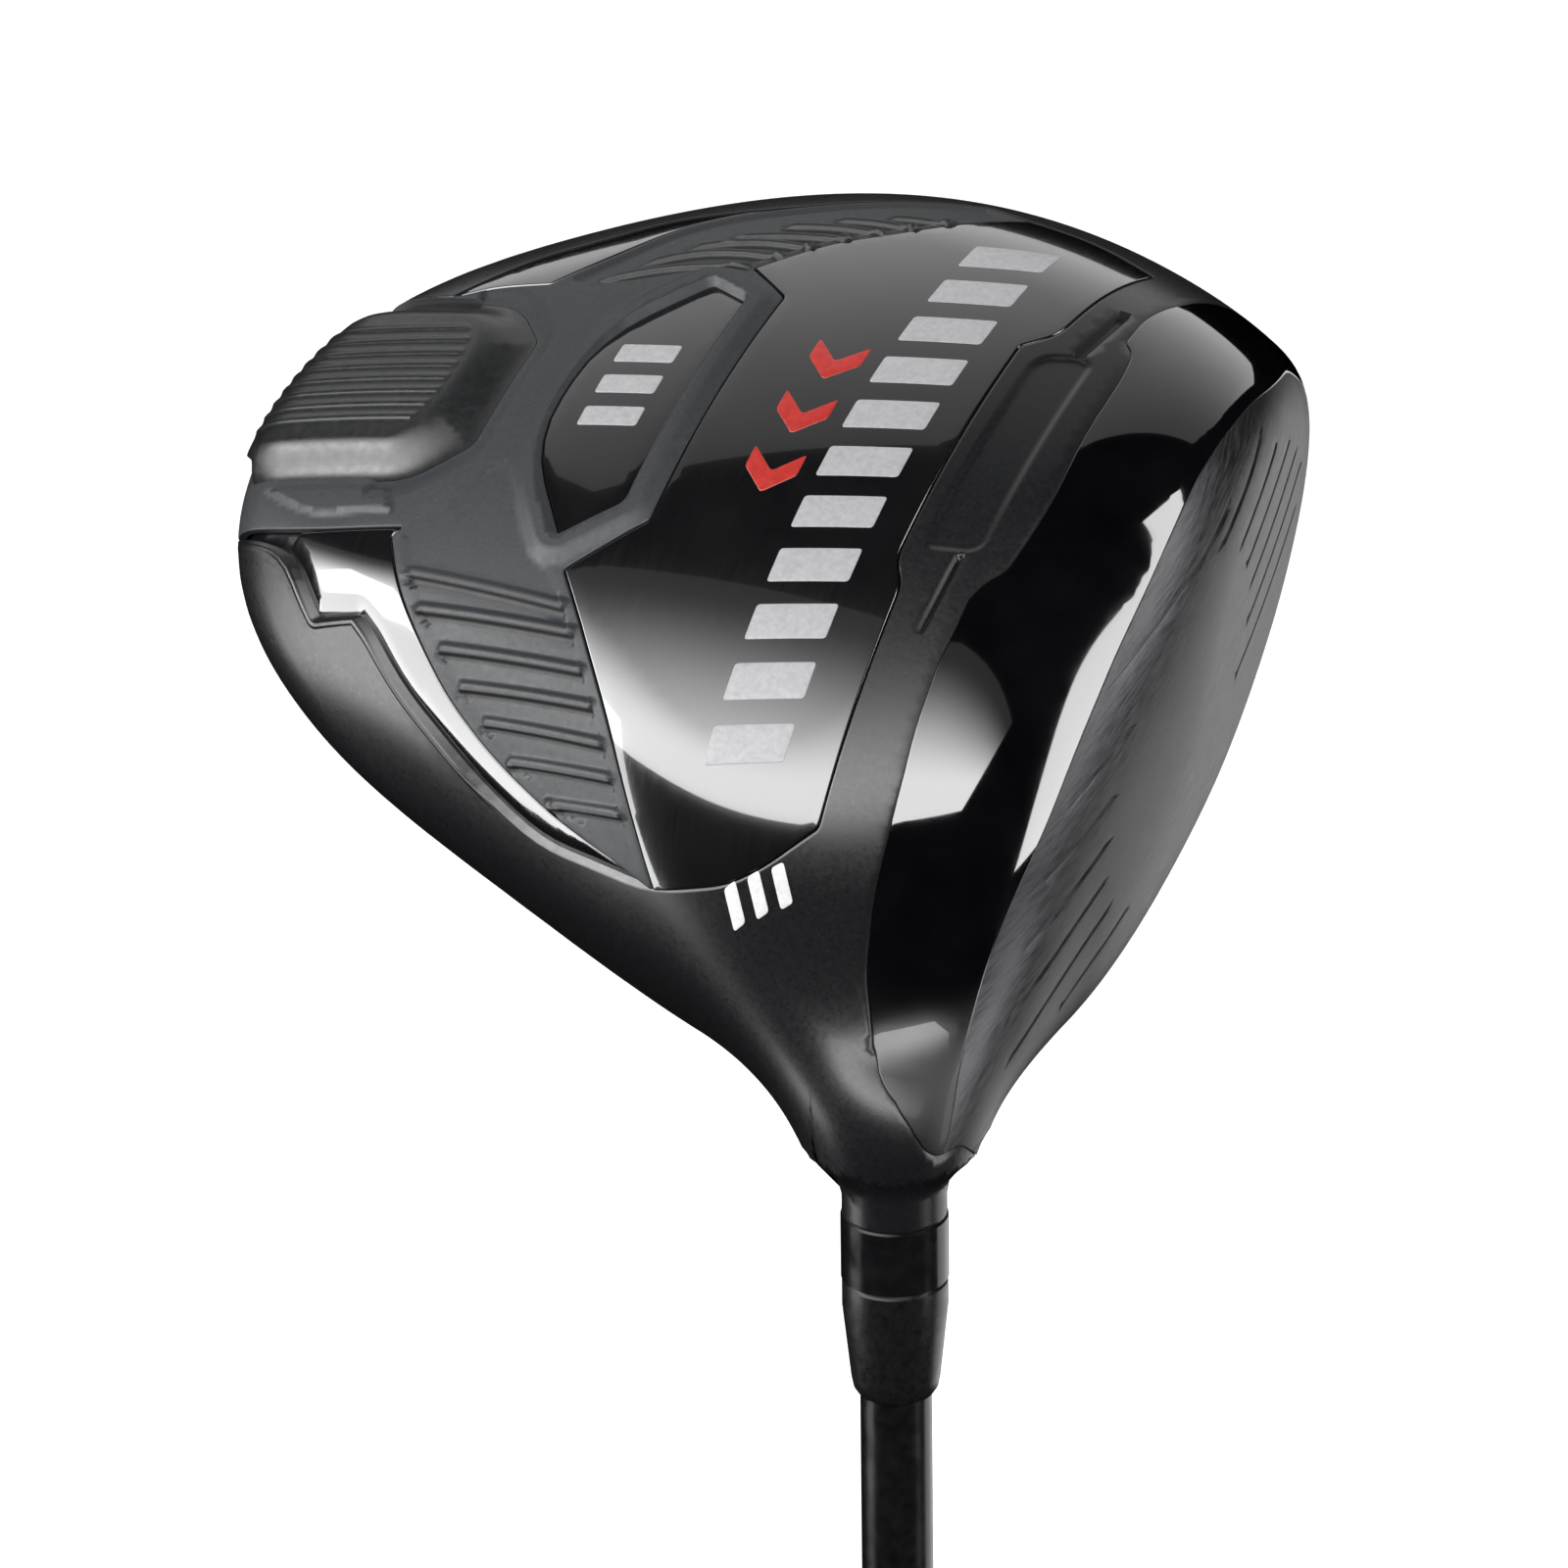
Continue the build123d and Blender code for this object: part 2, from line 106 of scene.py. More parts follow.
def plan_radius(angle):
    """Radius of the head seen from above, at an angle from its middle."""
    on = np.mod(angle, 2 * np.pi) / (2 * np.pi) * len(PLAN_RADII)
    i = np.floor(on).astype(int) % len(PLAN_RADII)
    j = (i + 1) % len(PLAN_RADII)
    t = on - np.floor(on)
    return (PLAN_RADII[i] * (1 + 2 * t) * (1 - t) ** 2 + PLAN_SLOPES[i] * t * (1 - t) ** 2
            + PLAN_RADII[j] * t * t * (3 - 2 * t) + PLAN_SLOPES[j] * t * t * (t - 1))


def soft_max(a, b, width):
    """The larger of two values, with the corner between them rounded over a width."""
    lap = np.maximum(width - np.abs(a - b), 0) / width
    return np.maximum(a, b) + lap * lap * width / 4


FACE_MIDDLE = np.array([0.0, 0.0, FACE_HEIGHT])
FACE_WAY = np.array([0.0, np.cos(LOFT), np.sin(LOFT)])
BALL_AT = FACE_MIDDLE - FACE_RADIUS * FACE_WAY


def outside(p):
    """About how far points lie outside the head with its hosel."""
    x, y, z = p[..., 0], p[..., 1], p[..., 2]
    sx, sy = x - SOLE["x"], y - SOLE["y"]
    floor = sx ** 2 / (2 * SOLE["rx"]) + sy ** 2 / (2 * SOLE["ry"])
    below = (floor - z) / np.sqrt(1 + (sx / SOLE["rx"]) ** 2 + (sy / SOLE["ry"]) ** 2)
    cx, cy = x - CROWN["x"], y - CROWN["y"]
    roof = CROWN["z"] - cx ** 2 / (2 * CROWN["rx"]) - cy ** 2 / (2 * CROWN["ry"])
    above = (z - roof) / np.sqrt(1 + (cx / CROWN["rx"]) ** 2 + (cy / CROWN["ry"]) ** 2)
    mx, my = x - MIDDLE[0], y - MIDDLE[1]
    side = np.hypot(mx, my) - plan_radius(np.arctan2(my, mx))
    whole = soft_max(soft_max(below, side, SOLE_BLEND), above, CROWN_BLEND)
    whole = soft_max(whole, (p - HEEL_AT) @ HEEL_WAY, HEEL_BLEND)
    ball = np.linalg.norm(p - BALL_AT, axis=-1) - FACE_RADIUS
    whole = soft_max(whole, ball, FACE_BLEND)
    d = p - HOSEL_AT
    across = d[..., 0] * np.sin(LIE) + d[..., 2] * np.cos(LIE)
    rise = d[..., 0] * np.cos(LIE) - d[..., 2] * np.sin(LIE)
    tube = soft_max(np.hypot(across, d[..., 1]) - HOSEL_R, rise - NECK_DEEP, 8.0)
    tube = np.maximum(tube, -rise)
    width = NECK_BLEND * np.clip(rise / NECK_START, 0.02, 1)
    return -soft_max(-whole, -tube, width)


def skin_normal(p):
    out = np.zeros_like(p)
    for k in range(3):
        step = np.zeros(3)
        step[k] = 0.02
        out[:, k] = outside(p + step) - outside(p - step)
    return out / np.linalg.norm(out, axis=1, keepdims=True)


def cast(start, ways, far=110.0):
    """Where rays from inside the head first leave it."""
    reach = np.full(len(ways), 3.0)
    live = np.ones(len(ways), bool)
    while live.any():
        live &= outside(start + ways * (reach + 2.5)[:, None]) < 0
        reach = np.where(live, reach + 2.5, reach)
        live &= reach < far
    near, end = reach, reach + 2.5
    for _ in range(16):
        half = (near + end) / 2
        held = outside(start + ways * half[:, None]) < 0
        near = np.where(held, half, near)
        end = np.where(held, end, half)
    return (near + end) / 2


class Chart:
    """Flat map of the skin seen from one side. Distances from its middle are true."""

    def __init__(self, start, east, north, pole, reach):
        self.start = np.array(start)
        self.east, self.north, self.pole = np.array(east), np.array(north), np.array(pole)
        self.turns, self.steps = 180, 240
        self.step = np.radians(reach) / self.steps
        turn = np.arange(self.turns) * 2 * np.pi / self.turns
        drop = np.arange(self.steps + 1) * self.step
        a, b = np.meshgrid(turn, drop, indexing="ij")
        ways = self.way(a.ravel(), b.ravel())
        radius = cast(self.start, ways)
        points = (self.start + ways * radius[:, None]).reshape(self.turns, self.steps + 1, 3)
        legs = np.linalg.norm(np.diff(points, axis=1), axis=2)
        run = np.concatenate([np.zeros((self.turns, 1)), np.cumsum(legs, 1)], 1)
        self.run = np.concatenate([run, run[:1]])
        radius = radius.reshape(self.turns, self.steps + 1)
        self.radius = np.concatenate([radius, radius[:1]])

    def way(self, turn, drop):
        return (np.cos(drop)[:, None] * self.pole
                + np.sin(drop)[:, None] * (np.cos(turn)[:, None] * self.east
                                           + np.sin(turn)[:, None] * self.north))

    def lay(self, uv):
        """Points of the skin for points of the map."""
        far = np.hypot(uv[:, 0], uv[:, 1])
        turn = np.mod(np.arctan2(uv[:, 1], uv[:, 0]), 2 * np.pi)
        on = turn / (2 * np.pi) * self.turns
        i = np.minimum(on.astype(int), self.turns - 1)
        t = (on - i)[:, None]
        rows = self.run[i] * (1 - t) + self.run[i + 1] * t
        j = np.clip((rows <= far[:, None]).sum(1) - 1, 0, self.steps - 1)
        n = np.arange(len(uv))
        part = (far - rows[n, j]) / (rows[n, j + 1] - rows[n, j])
        radii = self.radius[i] * (1 - t) + self.radius[i + 1] * t
        reach = radii[n, j] * (1 - part) + radii[n, j + 1] * part
        ways = self.way(turn, (j + part) * self.step)
        for _ in range(4):
            here = self.start + ways * reach[:, None]
            value = outside(here)
            slope = (outside(here + ways * 0.02) - value) / 0.02
            reach = reach - value / np.maximum(slope, 0.15)
        return self.start + ways * reach[:, None]

    def find(self, p):
        """Points of the map for points near the skin."""
        d = p - self.start
        d = d / np.linalg.norm(d, axis=1, keepdims=True)
        drop = np.arccos(np.clip(d @ self.pole, -1, 1)) / self.step
        turn = np.mod(np.arctan2(d @ self.north, d @ self.east), 2 * np.pi)
        on = turn / (2 * np.pi) * self.turns
        i = np.minimum(on.astype(int), self.turns - 1)
        j = np.clip(drop.astype(int), 0, self.steps - 1)
        t, s = on - i, drop - j
        far = ((self.run[i, j] * (1 - t) + self.run[i + 1, j] * t) * (1 - s)
               + (self.run[i, j + 1] * (1 - t) + self.run[i + 1, j + 1] * t) * s)
        return far[:, None] * np.stack([np.cos(turn), np.sin(turn)], -1)


sole_map = Chart((4, -54, 33), (0, 1, 0), (1, 0, 0), (0, 0, -1), 128)
crown_map = Chart((4, -54, 33), (1, 0, 0), (0, 1, 0), (0, 0, 1), 96)
face_map = Chart((2, -32, 33), (0, 0, 1), (1, 0, 0), (0, 1, 0), 84)
heel_map = Chart((-48.4, -23.4, 35.3), (0, 1, 0), (-0.8616, 0, -0.5075), (-0.5075, 0, 0.8616), 112)


def at_tail(x, z):
    """Point of the skin at the back of the head."""
    far, near = -140.0, MIDDLE[1]
    for _ in range(30):
        half = (far + near) / 2
        if outside(np.array([x, half, z])) > 0:
            far = half
        else:
            near = half
    return (x, near, z)


def on_sole(points):
    """Map points on the sole for plan points. A point with a height is taken as it is."""
    out = []
    for point in points:
        if len(point) == 3:
            out.append(point)
            continue
        low, high = -12.0, 33.0
        for _ in range(24):
            half = (low + high) / 2
            if outside(np.array([point[0], point[1], half])) > 0:
                low = half
            else:
                high = half
        out.append((point[0], point[1], high))
    return sole_map.find(np.array(out, float))


# ---- outlines on a map

def rounded(points, sharp=0.5, bend=5):
    """The same closed outline, with gentle bends made smooth and sharp corners just eased."""
    points = np.asarray(points, float)
    out = []
    for k in range(len(points)):
        here, back, on = points[k], points[k - 1], points[(k + 1) % len(points)]
        to_back, to_on = back - here, on - here
        long_back, long_on = np.hypot(*to_back), np.hypot(*to_on)
        gentle = (to_back @ to_on) / (long_back * long_on) < -0.75
        cut = min(9.0 if gentle else sharp, 0.45 * long_back, 0.45 * long_on)
        a = here + to_back / long_back * cut
        b = here + to_on / long_on * cut
        for t in np.linspace(0, 1, bend):
            out.append(a * (1 - t) ** 2 + 2 * here * t * (1 - t) + b * t * t)
    return np.array(out)


def evened(points, step, closed=True):
    """The outline again with points no further apart than step."""
    out = []
    count = len(points) if closed else len(points) - 1
    for k in range(count):
        a, b = points[k], points[(k + 1) % len(points)]
        gap = np.hypot(*(b - a))
        if gap < 1e-6:
            continue
        parts = max(1, int(np.ceil(gap / step)))
        for i in range(parts):
            out.append(a + (b - a) * i / parts)
    if not closed:
        out.append(points[-1])
    return np.array(out)


def edge_distance(points, outline, closed=True):
    """Distance from each point to an outline."""
    a = outline if closed else outline[:-1]
    b = np.roll(outline, -1, 0) if closed else outline[1:]
    best = np.full(len(points), 1e9)
    for p, q in zip(a, b):
        run = q - p
        long = run @ run
        if long < 1e-12:
            continue
        t = np.clip(((points - p) @ run) / long, 0, 1)
        gap = points - p - t[:, None] * run
        best = np.minimum(best, gap[:, 0] ** 2 + gap[:, 1] ** 2)
    return np.sqrt(best)


def within(points, outline):
    inside = np.zeros(len(points), bool)
    x, y = points[:, 0], points[:, 1]
    for p, q in zip(outline, np.roll(outline, -1, 0)):
        if p[1] == q[1]:
            continue
        crosses = (p[1] > y) != (q[1] > y)
        inside ^= crosses & (x < (q[0] - p[0]) * (y - p[1]) / (q[1] - p[1]) + p[0])
    return inside


def depth(points, outline):
    """Distance to an outline, positive inside it."""
    return np.where(within(points, outline), 1, -1) * edge_distance(points, outline)


def inset(outline, gap):
    """The outline moved inward by a gap, or outward when the gap is negative."""
    ahead, back = np.roll(outline, -1, 0), np.roll(outline, 1, 0)
    run = ahead - back
    run /= np.maximum(np.hypot(run[:, 0], run[:, 1]), 1e-9)[:, None]
    area = np.sum(outline[:, 0] * ahead[:, 1] - ahead[:, 0] * outline[:, 1])
    side = np.stack([-run[:, 1], run[:, 0]], -1) * np.sign(area)
    moved = outline + side * gap
    clear = edge_distance(moved, outline) > abs(gap) * 0.93
    return moved[clear]


def step_up(x, start, end):
    """Smooth rise from 0 at start to 1 at end."""
    t = np.clip((x - start) / (end - start), 0, 1)
    return t * t * (3 - 2 * t)


def round_edge(inside, radius):
    """Height of a rounded edge, 0 on the flat and minus the radius at the outline."""
    t = np.clip(1 - inside / radius, 0, 1)
    return -radius * (1 - np.sqrt(1 - t * t * 0.999))


def beside(points, path):
    """Distance from a line, positive on its left, and how far along it."""
    best, side, along = np.full(len(points), 1e9), np.zeros(len(points)), np.zeros(len(points))
    done = 0.0
    for k, (a, b) in enumerate(zip(path[:-1], path[1:])):
        run = b - a
        long = np.hypot(*run)
        t = ((points - a) @ run) / long ** 2
        low = -9.0 if k == 0 else 0.0
        high = 9.0 if k == len(path) - 2 else 1.0
        t = np.clip(t, low, high)
        gap = points - a - t[:, None] * run
        far = np.hypot(gap[:, 0], gap[:, 1])
        near = far < best
        best = np.where(near, far, best)
        side = np.where(near, np.sign(run[0] * gap[:, 1] - run[1] * gap[:, 0]) * far, side)
        along = np.where(near, done + t * long, along)
        done += long
    return side, along


def shifted(path, gap):
    """An open line moved to its left."""
    run = np.gradient(path, axis=0)
    run /= np.hypot(run[:, 0], run[:, 1])[:, None]
    return path + np.stack([-run[:, 1], run[:, 0]], -1) * gap


def bowed(start, middle, end, count=9):
    """Smooth line through three points."""
    a, m, b = (np.asarray(p, float) for p in (start, middle, end))
    pull = 2 * m - (a + b) / 2
    t = np.linspace(0, 1, count)[:, None]
    return a * (1 - t) ** 2 + 2 * pull * t * (1 - t) + b * t * t


# ---- meshes laid on the skin

def flat_cells(outline, spacing, rings=(), lines=(), holes=()):
    """Triangles that fill an outline, with edges along rings inside it, lines and holes."""
    loops = [outline] + list(rings) + list(holes)
    coords, edges = [], []
    for path, closed in [(c, True) for c in loops] + [(c, False) for c in lines]:
        first, count = len(coords), len(path)
        coords.extend(path)
        edges += [(first + k, first + (k + 1) % count) for k in range(count if closed else count - 1)]
    low, high = outline.min(0), outline.max(0)
    grid = []
    for k, y in enumerate(np.arange(low[1], high[1], spacing * 0.866)):
        x = np.arange(low[0] + k % 2 * spacing / 2, high[0], spacing)
        grid.append(np.stack([x, np.full(len(x), y)], -1))
    grid = np.concatenate(grid)
    grid = grid[depth(grid, outline) > spacing * 0.5]
    for path in rings:
        grid = grid[edge_distance(grid, path) > spacing * 0.45]
    for path in lines:
        grid = grid[edge_distance(grid, path, False) > spacing * 0.45]
    for hole in holes:
        grid = grid[depth(grid, hole) < -spacing * 0.5]
    coords.extend(grid)
    made = delaunay_2d_cdt([Vector(c) for c in coords], edges, [], 0, 1e-5, False)
    points = np.array([tuple(v) for v in made[0]])
    cells = np.array([f for f in made[2] if len(f) == 3])
    middle = points[cells].mean(1)
    keep = within(middle, outline)
    for hole in holes:
        keep &= ~within(middle, hole)
    cells = cells[keep]
    a, b, c = points[cells[:, 0]], points[cells[:, 1]], points[cells[:, 2]]
    area = (b[:, 0] - a[:, 0]) * (c[:, 1] - a[:, 1]) - (b[:, 1] - a[:, 1]) * (c[:, 0] - a[:, 0])
    cells[area < 0] = cells[area < 0][:, ::-1]
    cells = cells[np.abs(area) > 1e-7]
    used, cells = np.unique(cells, return_inverse=True)
    return points[used], cells.reshape(-1, 3)


def make_piece(name, points, faces, normals, maps, materials, stands_for=()):
    """An object from points in millimetres, riding the head."""
    mesh = bpy.data.meshes.new(name)
    mesh.from_pydata((points * 0.001).tolist(), [], [list(map(int, f)) for f in faces])
    mesh.shade_smooth()
    if normals is not None:
        mesh.normals_split_custom_set_from_vertices(normals.tolist())
    if maps is not None:
        layer = mesh.uv_layers.new(name="map")
        corner = np.zeros(len(mesh.loops), int)
        mesh.loops.foreach_get("vertex_index", corner)
        layer.data.foreach_set("uv", (maps[corner] * 0.001).ravel())
    for material in materials:
        mesh.materials.append(material)
    piece = bpy.data.objects.new(name, mesh)
    bpy.context.scene.collection.objects.link(piece)
    piece.shadow_terminator_geometry_offset = 0.25
    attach(piece, "root")
    if stands_for:
        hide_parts(*stands_for)
    return piece


def panel(name, chart, cells, relief, materials, stands_for=(), skirt=0.0, second=None):
    """A mesh on the skin, raised by its relief, with a wall of the skirt's height at its edge."""
    at, faces = cells

    def raised(where):
        base = chart.lay(where)
        return base + skin_normal(base) * relief(where, base)[:, None]

    points = raised(at)
    step = 0.04
    across = raised(at + (step, 0)) - raised(at - (step, 0))
    along = raised(at + (0, step)) - raised(at - (0, step))
    normals = np.cross(across, along)
    normals /= np.maximum(np.linalg.norm(normals, axis=1, keepdims=True), 1e-9)
    maps = at
    if skirt:
        sides = np.concatenate([faces[:, [0, 1]], faces[:, [1, 2]], faces[:, [2, 0]]])
        keys = sides[:, 0] * len(at) + sides[:, 1]
        back = sides[:, 1] * len(at) + sides[:, 0]
        rim = sides[~np.isin(keys, back)]
        up = skin_normal(chart.lay(at))
        out = np.zeros_like(points)
        for a, b in rim:
            way = np.cross(points[b] - points[a], up[a])
            out[a] += way
            out[b] += way
        ring = np.unique(rim)
        place = {int(k): i for i, k in enumerate(ring)}
        count = len(points)
        side = out[ring] / np.maximum(np.linalg.norm(out[ring], axis=1, keepdims=True), 1e-9)
        points = np.concatenate([points, points[ring], points[ring] - up[ring] * skirt])
        normals = np.concatenate([normals, side, side])
        maps = np.concatenate([maps, maps[ring], maps[ring]])
        walls = []
        for a, b in rim:
            i, j = count + place[int(a)], count + place[int(b)]
            walls.append((j, i, i + len(ring)))
            walls.append((j, i + len(ring), j + len(ring)))
        faces = np.concatenate([faces, np.array(walls)])
    piece = make_piece(name, to_club(points), faces, turn_to_club(normals), maps, materials,
                       stands_for)
    if second is not None:
        chosen = second(maps[faces].mean(1)).astype(int)
        piece.data.polygons.foreach_set("material_index", chosen)
    return piece


def turned(name, profile, material, stands_for=(), sides=96, shape=None, edge=35):
    """A round piece on the shaft's axis, from (radius, height) pairs going down the outside."""
    profile = np.array(profile, float)
    turn = np.arange(sides) * 2 * np.pi / sides
    radius = np.repeat(profile[:, :1], sides, 1)
    if shape is not None:
        radius = radius + shape(turn[None, :], profile[:, 1:2])
    points = np.stack([radius * np.cos(turn), radius * np.sin(turn),
                       np.repeat(profile[:, 1:], sides, 1)], -1).reshape(-1, 3)
    maps = np.stack([np.repeat(turn[None], len(profile), 0) * 10,
                     np.repeat(profile[:, 1:], sides, 1)], -1).reshape(-1, 2)
    faces = []
    for row in range(len(profile) - 1):
        for k in range(sides):
            a, b = row * sides + k, row * sides + (k + 1) % sides
            faces.append((a, a + sides, b + sides, b))
    faces.append(tuple(range(sides)))
    last = (len(profile) - 1) * sides
    faces.append(tuple(last + k for k in reversed(range(sides))))
    piece = make_piece(name, points, faces, None, maps, [material], stands_for)
    piece.data.set_sharp_from_angle(angle=np.radians(edge))
    return piece


# ---- finishes

def hex_colour(code):
    """Linear colour of an sRGB hex value."""
    out = []
    for k in (1, 3, 5):
        value = int(code[k:k + 2], 16) / 255
        out.append(value / 12.92 if value <= 0.04045 else ((value + 0.055) / 1.055) ** 2.4)
    return (*out, 1.0)


def add(tree, kind, inputs=(), **settings):
    """A node with its settings, and with values or other nodes' outputs on its inputs."""
    node = tree.nodes.new(kind)
    for name, value in settings.items():
        setattr(node, name, value)
    for name, value in dict(inputs).items():
        if isinstance(value, bpy.types.NodeSocket):
            tree.links.new(value, node.inputs[name])
        else:
            node.inputs[name].default_value = value
    return node


def new_finish(name, **values):
    """A material with its shader, and the object's own place as coordinates."""
    material = bpy.data.materials.new(name)
    material.use_nodes = True
    tree = material.node_tree
    tree.nodes.clear()
    shader = add(tree, "ShaderNodeBsdfPrincipled", values)
    add(tree, "ShaderNodeOutputMaterial", {"Surface": shader.outputs[0]})
    place = add(tree, "ShaderNodeTexCoord")
    return material, tree, shader, place


def speckle(tree, place, size, low, high, detail=3.0):
    """Noise of a grain size in millimetres, brought between two values."""
    noise = add(tree, "ShaderNodeTexNoise",
                {"Vector": place, "Scale": 1000.0 / size, "Detail": detail, "Roughness": 0.6})
    spread = add(tree, "ShaderNodeMapRange",
                 {"Value": noise.outputs["Fac"], "From Min": 0.3, "From Max": 0.7,
                  "To Min": low, "To Max": high})
    return spread.outputs["Result"]


def grained(tree, shader, amount, dark, light, height, raised, strength):
    """Colours the surface between two hex values by an amount, and raises it by a height in mm."""
    mix = add(tree, "ShaderNodeMix",
              {"Factor": amount, 6: hex_colour(dark), 7: hex_colour(light)}, data_type="RGBA")
    tree.links.new(mix.outputs[2], shader.inputs["Base Color"])
    lift = add(tree, "ShaderNodeBump",
               {"Height": height, "Distance": raised * 0.001, "Strength": strength})
    tree.links.new(lift.outputs[0], shader.inputs["Normal"])


def toward_hosel(tree, place, at_hosel, on_head):
    """Value that changes from the head to the hosel, where the lacquer is hardly polished."""
    parts = add(tree, "ShaderNodeSeparateXYZ", {"Vector": place.outputs["Object"]})
    fade = add(tree, "ShaderNodeMapRange",
               {"Value": parts.outputs["Z"], "From Min": 1.117, "From Max": 1.133,
                "To Min": at_hosel, "To Max": on_head}, interpolation_type="SMOOTHSTEP")
    return fade.outputs["Result"]


def grainy(name, dark, light, size, rough, rough_size, raised, strength=0.6, dull=0.0, **values):
    """Finish with a fine grain in its colour and height, and a coarser one in its roughness."""
    material, tree, shader, place = new_finish(name, **values)
    grain = speckle(tree, place.outputs["Object"], size, 0.0, 1.0)
    grained(tree, shader, grain, dark, light, grain, raised, strength)
    gloss = speckle(tree, place.outputs["Object"], rough_size, *rough)
    if dull:
        gloss = add(tree, "ShaderNodeMath", {0: gloss, 1: toward_hosel(tree, place, dull, 0.0)},
                    operation="ADD").outputs[0]
    tree.links.new(gloss, shader.inputs["Roughness"])
    return material, tree, shader, place


def piano_lacquer():
    """Titanium under polished black lacquer: mirror gloss over black, lost near the hosel."""
    material, tree, shader, place = grainy(
        "gloss_black_lacquer", "#020203", "#050506", 9.0, (0.05, 0.08), 3.0, 0.006, 0.3, 0.4,
        **{"IOR": 1.5, "Coat Roughness": 0.02, "Coat IOR": 1.6})
    tree.links.new(toward_hosel(tree, place, 0.05, 1.0), shader.inputs["Coat Weight"])
    return material


def panel_lacquer():
    """Moulded panel under clear gloss: black, with hair-fine brushing under the clear coat."""
    material, tree, shader, place = new_finish("gloss_black_panel", **{
        "IOR": 1.5, "Coat Weight": 1.0, "Coat Roughness": 0.03, "Coat IOR": 1.6})
    cloud = speckle(tree, place.outputs["Object"], 12.0, 0.0, 1.0)
    lines = add(tree, "ShaderNodeMapping",
                {"Vector": place.outputs["UV"], "Scale": (14.0, 0.25, 1.0)})
    hairs = speckle(tree, lines.outputs[0], 1.6, 0.0, 1.0, 2.0)
    spread = add(tree, "ShaderNodeMapRange", {"Value": hairs, "To Min": 0.10, "To Max": 0.2})
    tree.links.new(spread.outputs["Result"], shader.inputs["Roughness"])
    grained(tree, shader, cloud, "#050506", "#0a0a0b", hairs, 0.002, 0.3)
    return material


def brushed_face():
    """Face brushed from heel to toe and darkened: grey metal with fine bright and dark hairs."""
    material, tree, shader, place = new_finish("dark_brushed_titanium", **{"Metallic": 1.0})
    lines = add(tree, "ShaderNodeMapping",
                {"Vector": place.outputs["UV"], "Scale": (9.0, 0.8, 1.0)})
    hairs = speckle(tree, lines.outputs[0], 3.0, 0.0, 1.0, 4.0)
    patches = speckle(tree, place.outputs["UV"], 7.0, 0.0, 1.0)
    both = add(tree, "ShaderNodeMath", {0: patches, 1: 0.15, 2: hairs}, operation="MULTIPLY_ADD")
    spread = add(tree, "ShaderNodeMapRange", {"Value": hairs, "To Min": 0.34, "To Max": 0.5})
    tree.links.new(spread.outputs["Result"], shader.inputs["Roughness"])
    grained(tree, shader, both.outputs[0], "#333334", "#555557", hairs, 0.02, 0.6)
    return material


def paint_fill(name, dark, light, rough):
    """Paint filled into a shallow mark: even colour with a slight mottle."""
    return grainy(name, dark, light, 0.7, (rough - 0.05, rough + 0.05), 1.5, 0.004, 0.4, IOR=1.5)[0]


def plain_finish(name, dark, light, rough, size, metal=0.0, raised=0.01):
    """Even finish with a little grain of one size in millimetres."""
    return grainy(name, dark, light, size, (rough - 0.05, rough + 0.05), size * 2, raised,
                  Metallic=metal)[0]


# Titanium under satin black lacquer: deep black with a wide soft sheen and very fine grain.
satin = grainy("satin_black_lacquer", "#060607", "#0b0c0e", 0.25, (0.27, 0.35), 0.6, 0.004,
               IOR=1.5)[0]
piano = piano_lacquer()
gloss_panel = panel_lacquer()
# Cast frame under matt dark grey paint: dull, with a fine orange-peel grain.
matt = grainy("matt_grey_paint", "#131518", "#1a1d20", 0.35, (0.46, 0.56), 0.8, 0.012, 0.7,
              IOR=1.45)[0]
# Moulded black plastic cover: soft satin with a faint mottle.
cover = grainy("moulded_black_plastic", "#08090a", "#0d0e0f", 0.4, (0.3, 0.4), 1.2, 0.006, 0.5,
               IOR=1.5)[0]
face_metal = brushed_face()
# Fill paints: flat grey, red and white on the gloss, and a near-black painted shade on the steep side of
# each rib crease.
silver_fill = paint_fill("silver_grey_paint", "#646466", "#717173", 0.45)
red_fill = paint_fill("red_paint", "#6c0f09", "#7d140c", 0.35)
white_fill = paint_fill("white_paint", "#8a8a8a", "#989898", 0.5)
# Near-black paint that stands in for the shade on the steep side of the rib creases.
crease_shade_paint = paint_fill("painted_crease_shade", "#060708", "#0a0b0c", 0.6)

# ---- the head: outlines, in plan on the sole
TAIL_UP = 22.0
tail_toe, tail_heel = at_tail(26.9, TAIL_UP), at_tail(-9.0, TAIL_UP)
plate_plan = [(-13.3, -109.8), (-21.5, -102.8), (-21.6, -96.3), (-23.7, -93.5), (-29.0, -87.5),
              (-36.6, -75.2), (-41.2, -65.7), (-46.0, -47.2), (-45.0, -37.2), (-42.6, -32.4),
              (-37.6, -26.7), (-8.1, -26.3), (-5.0, -28.2), (30.1, -28.2), (33.4, -25.0),
              (43.3, -23.8), (51.2, -22.7), (54.7, -32.1), (55.5, -40.5), (57.4, -47.9),
              (51.8, -62.1), (48.8, -68.1), (43.5, -83.1), (38.2, -90.0), (34.4, -96.6),
              (25.9, -105.2), tail_toe, tail_heel]
wing_plan = [(-12.1, -94.6), (-18.8, -90.6), (-24.4, -85.7), (-29.8, -80.1), (-33.6, -74.6),
             (-36.1, -70.3), (-39.6, -63.5), (-43.4, -54.1), (-46.0, -47.2), (-42.1, -49.8),
             (-31.5, -56.4), (-20.4, -64.4), (-14.7, -68.8)]
toe_wing_plan = [(34.5, -66.4), (41.6, -59.4), (45.8, -52.4), (50.6, -46.6), (55.6, -41.5),
                 (57.4, -47.9), (51.8, -62.1), (48.8, -68.1), (45.4, -75.5), (41.2, -80.9),
                 (35.1, -85.7), (28.5, -92.1)]
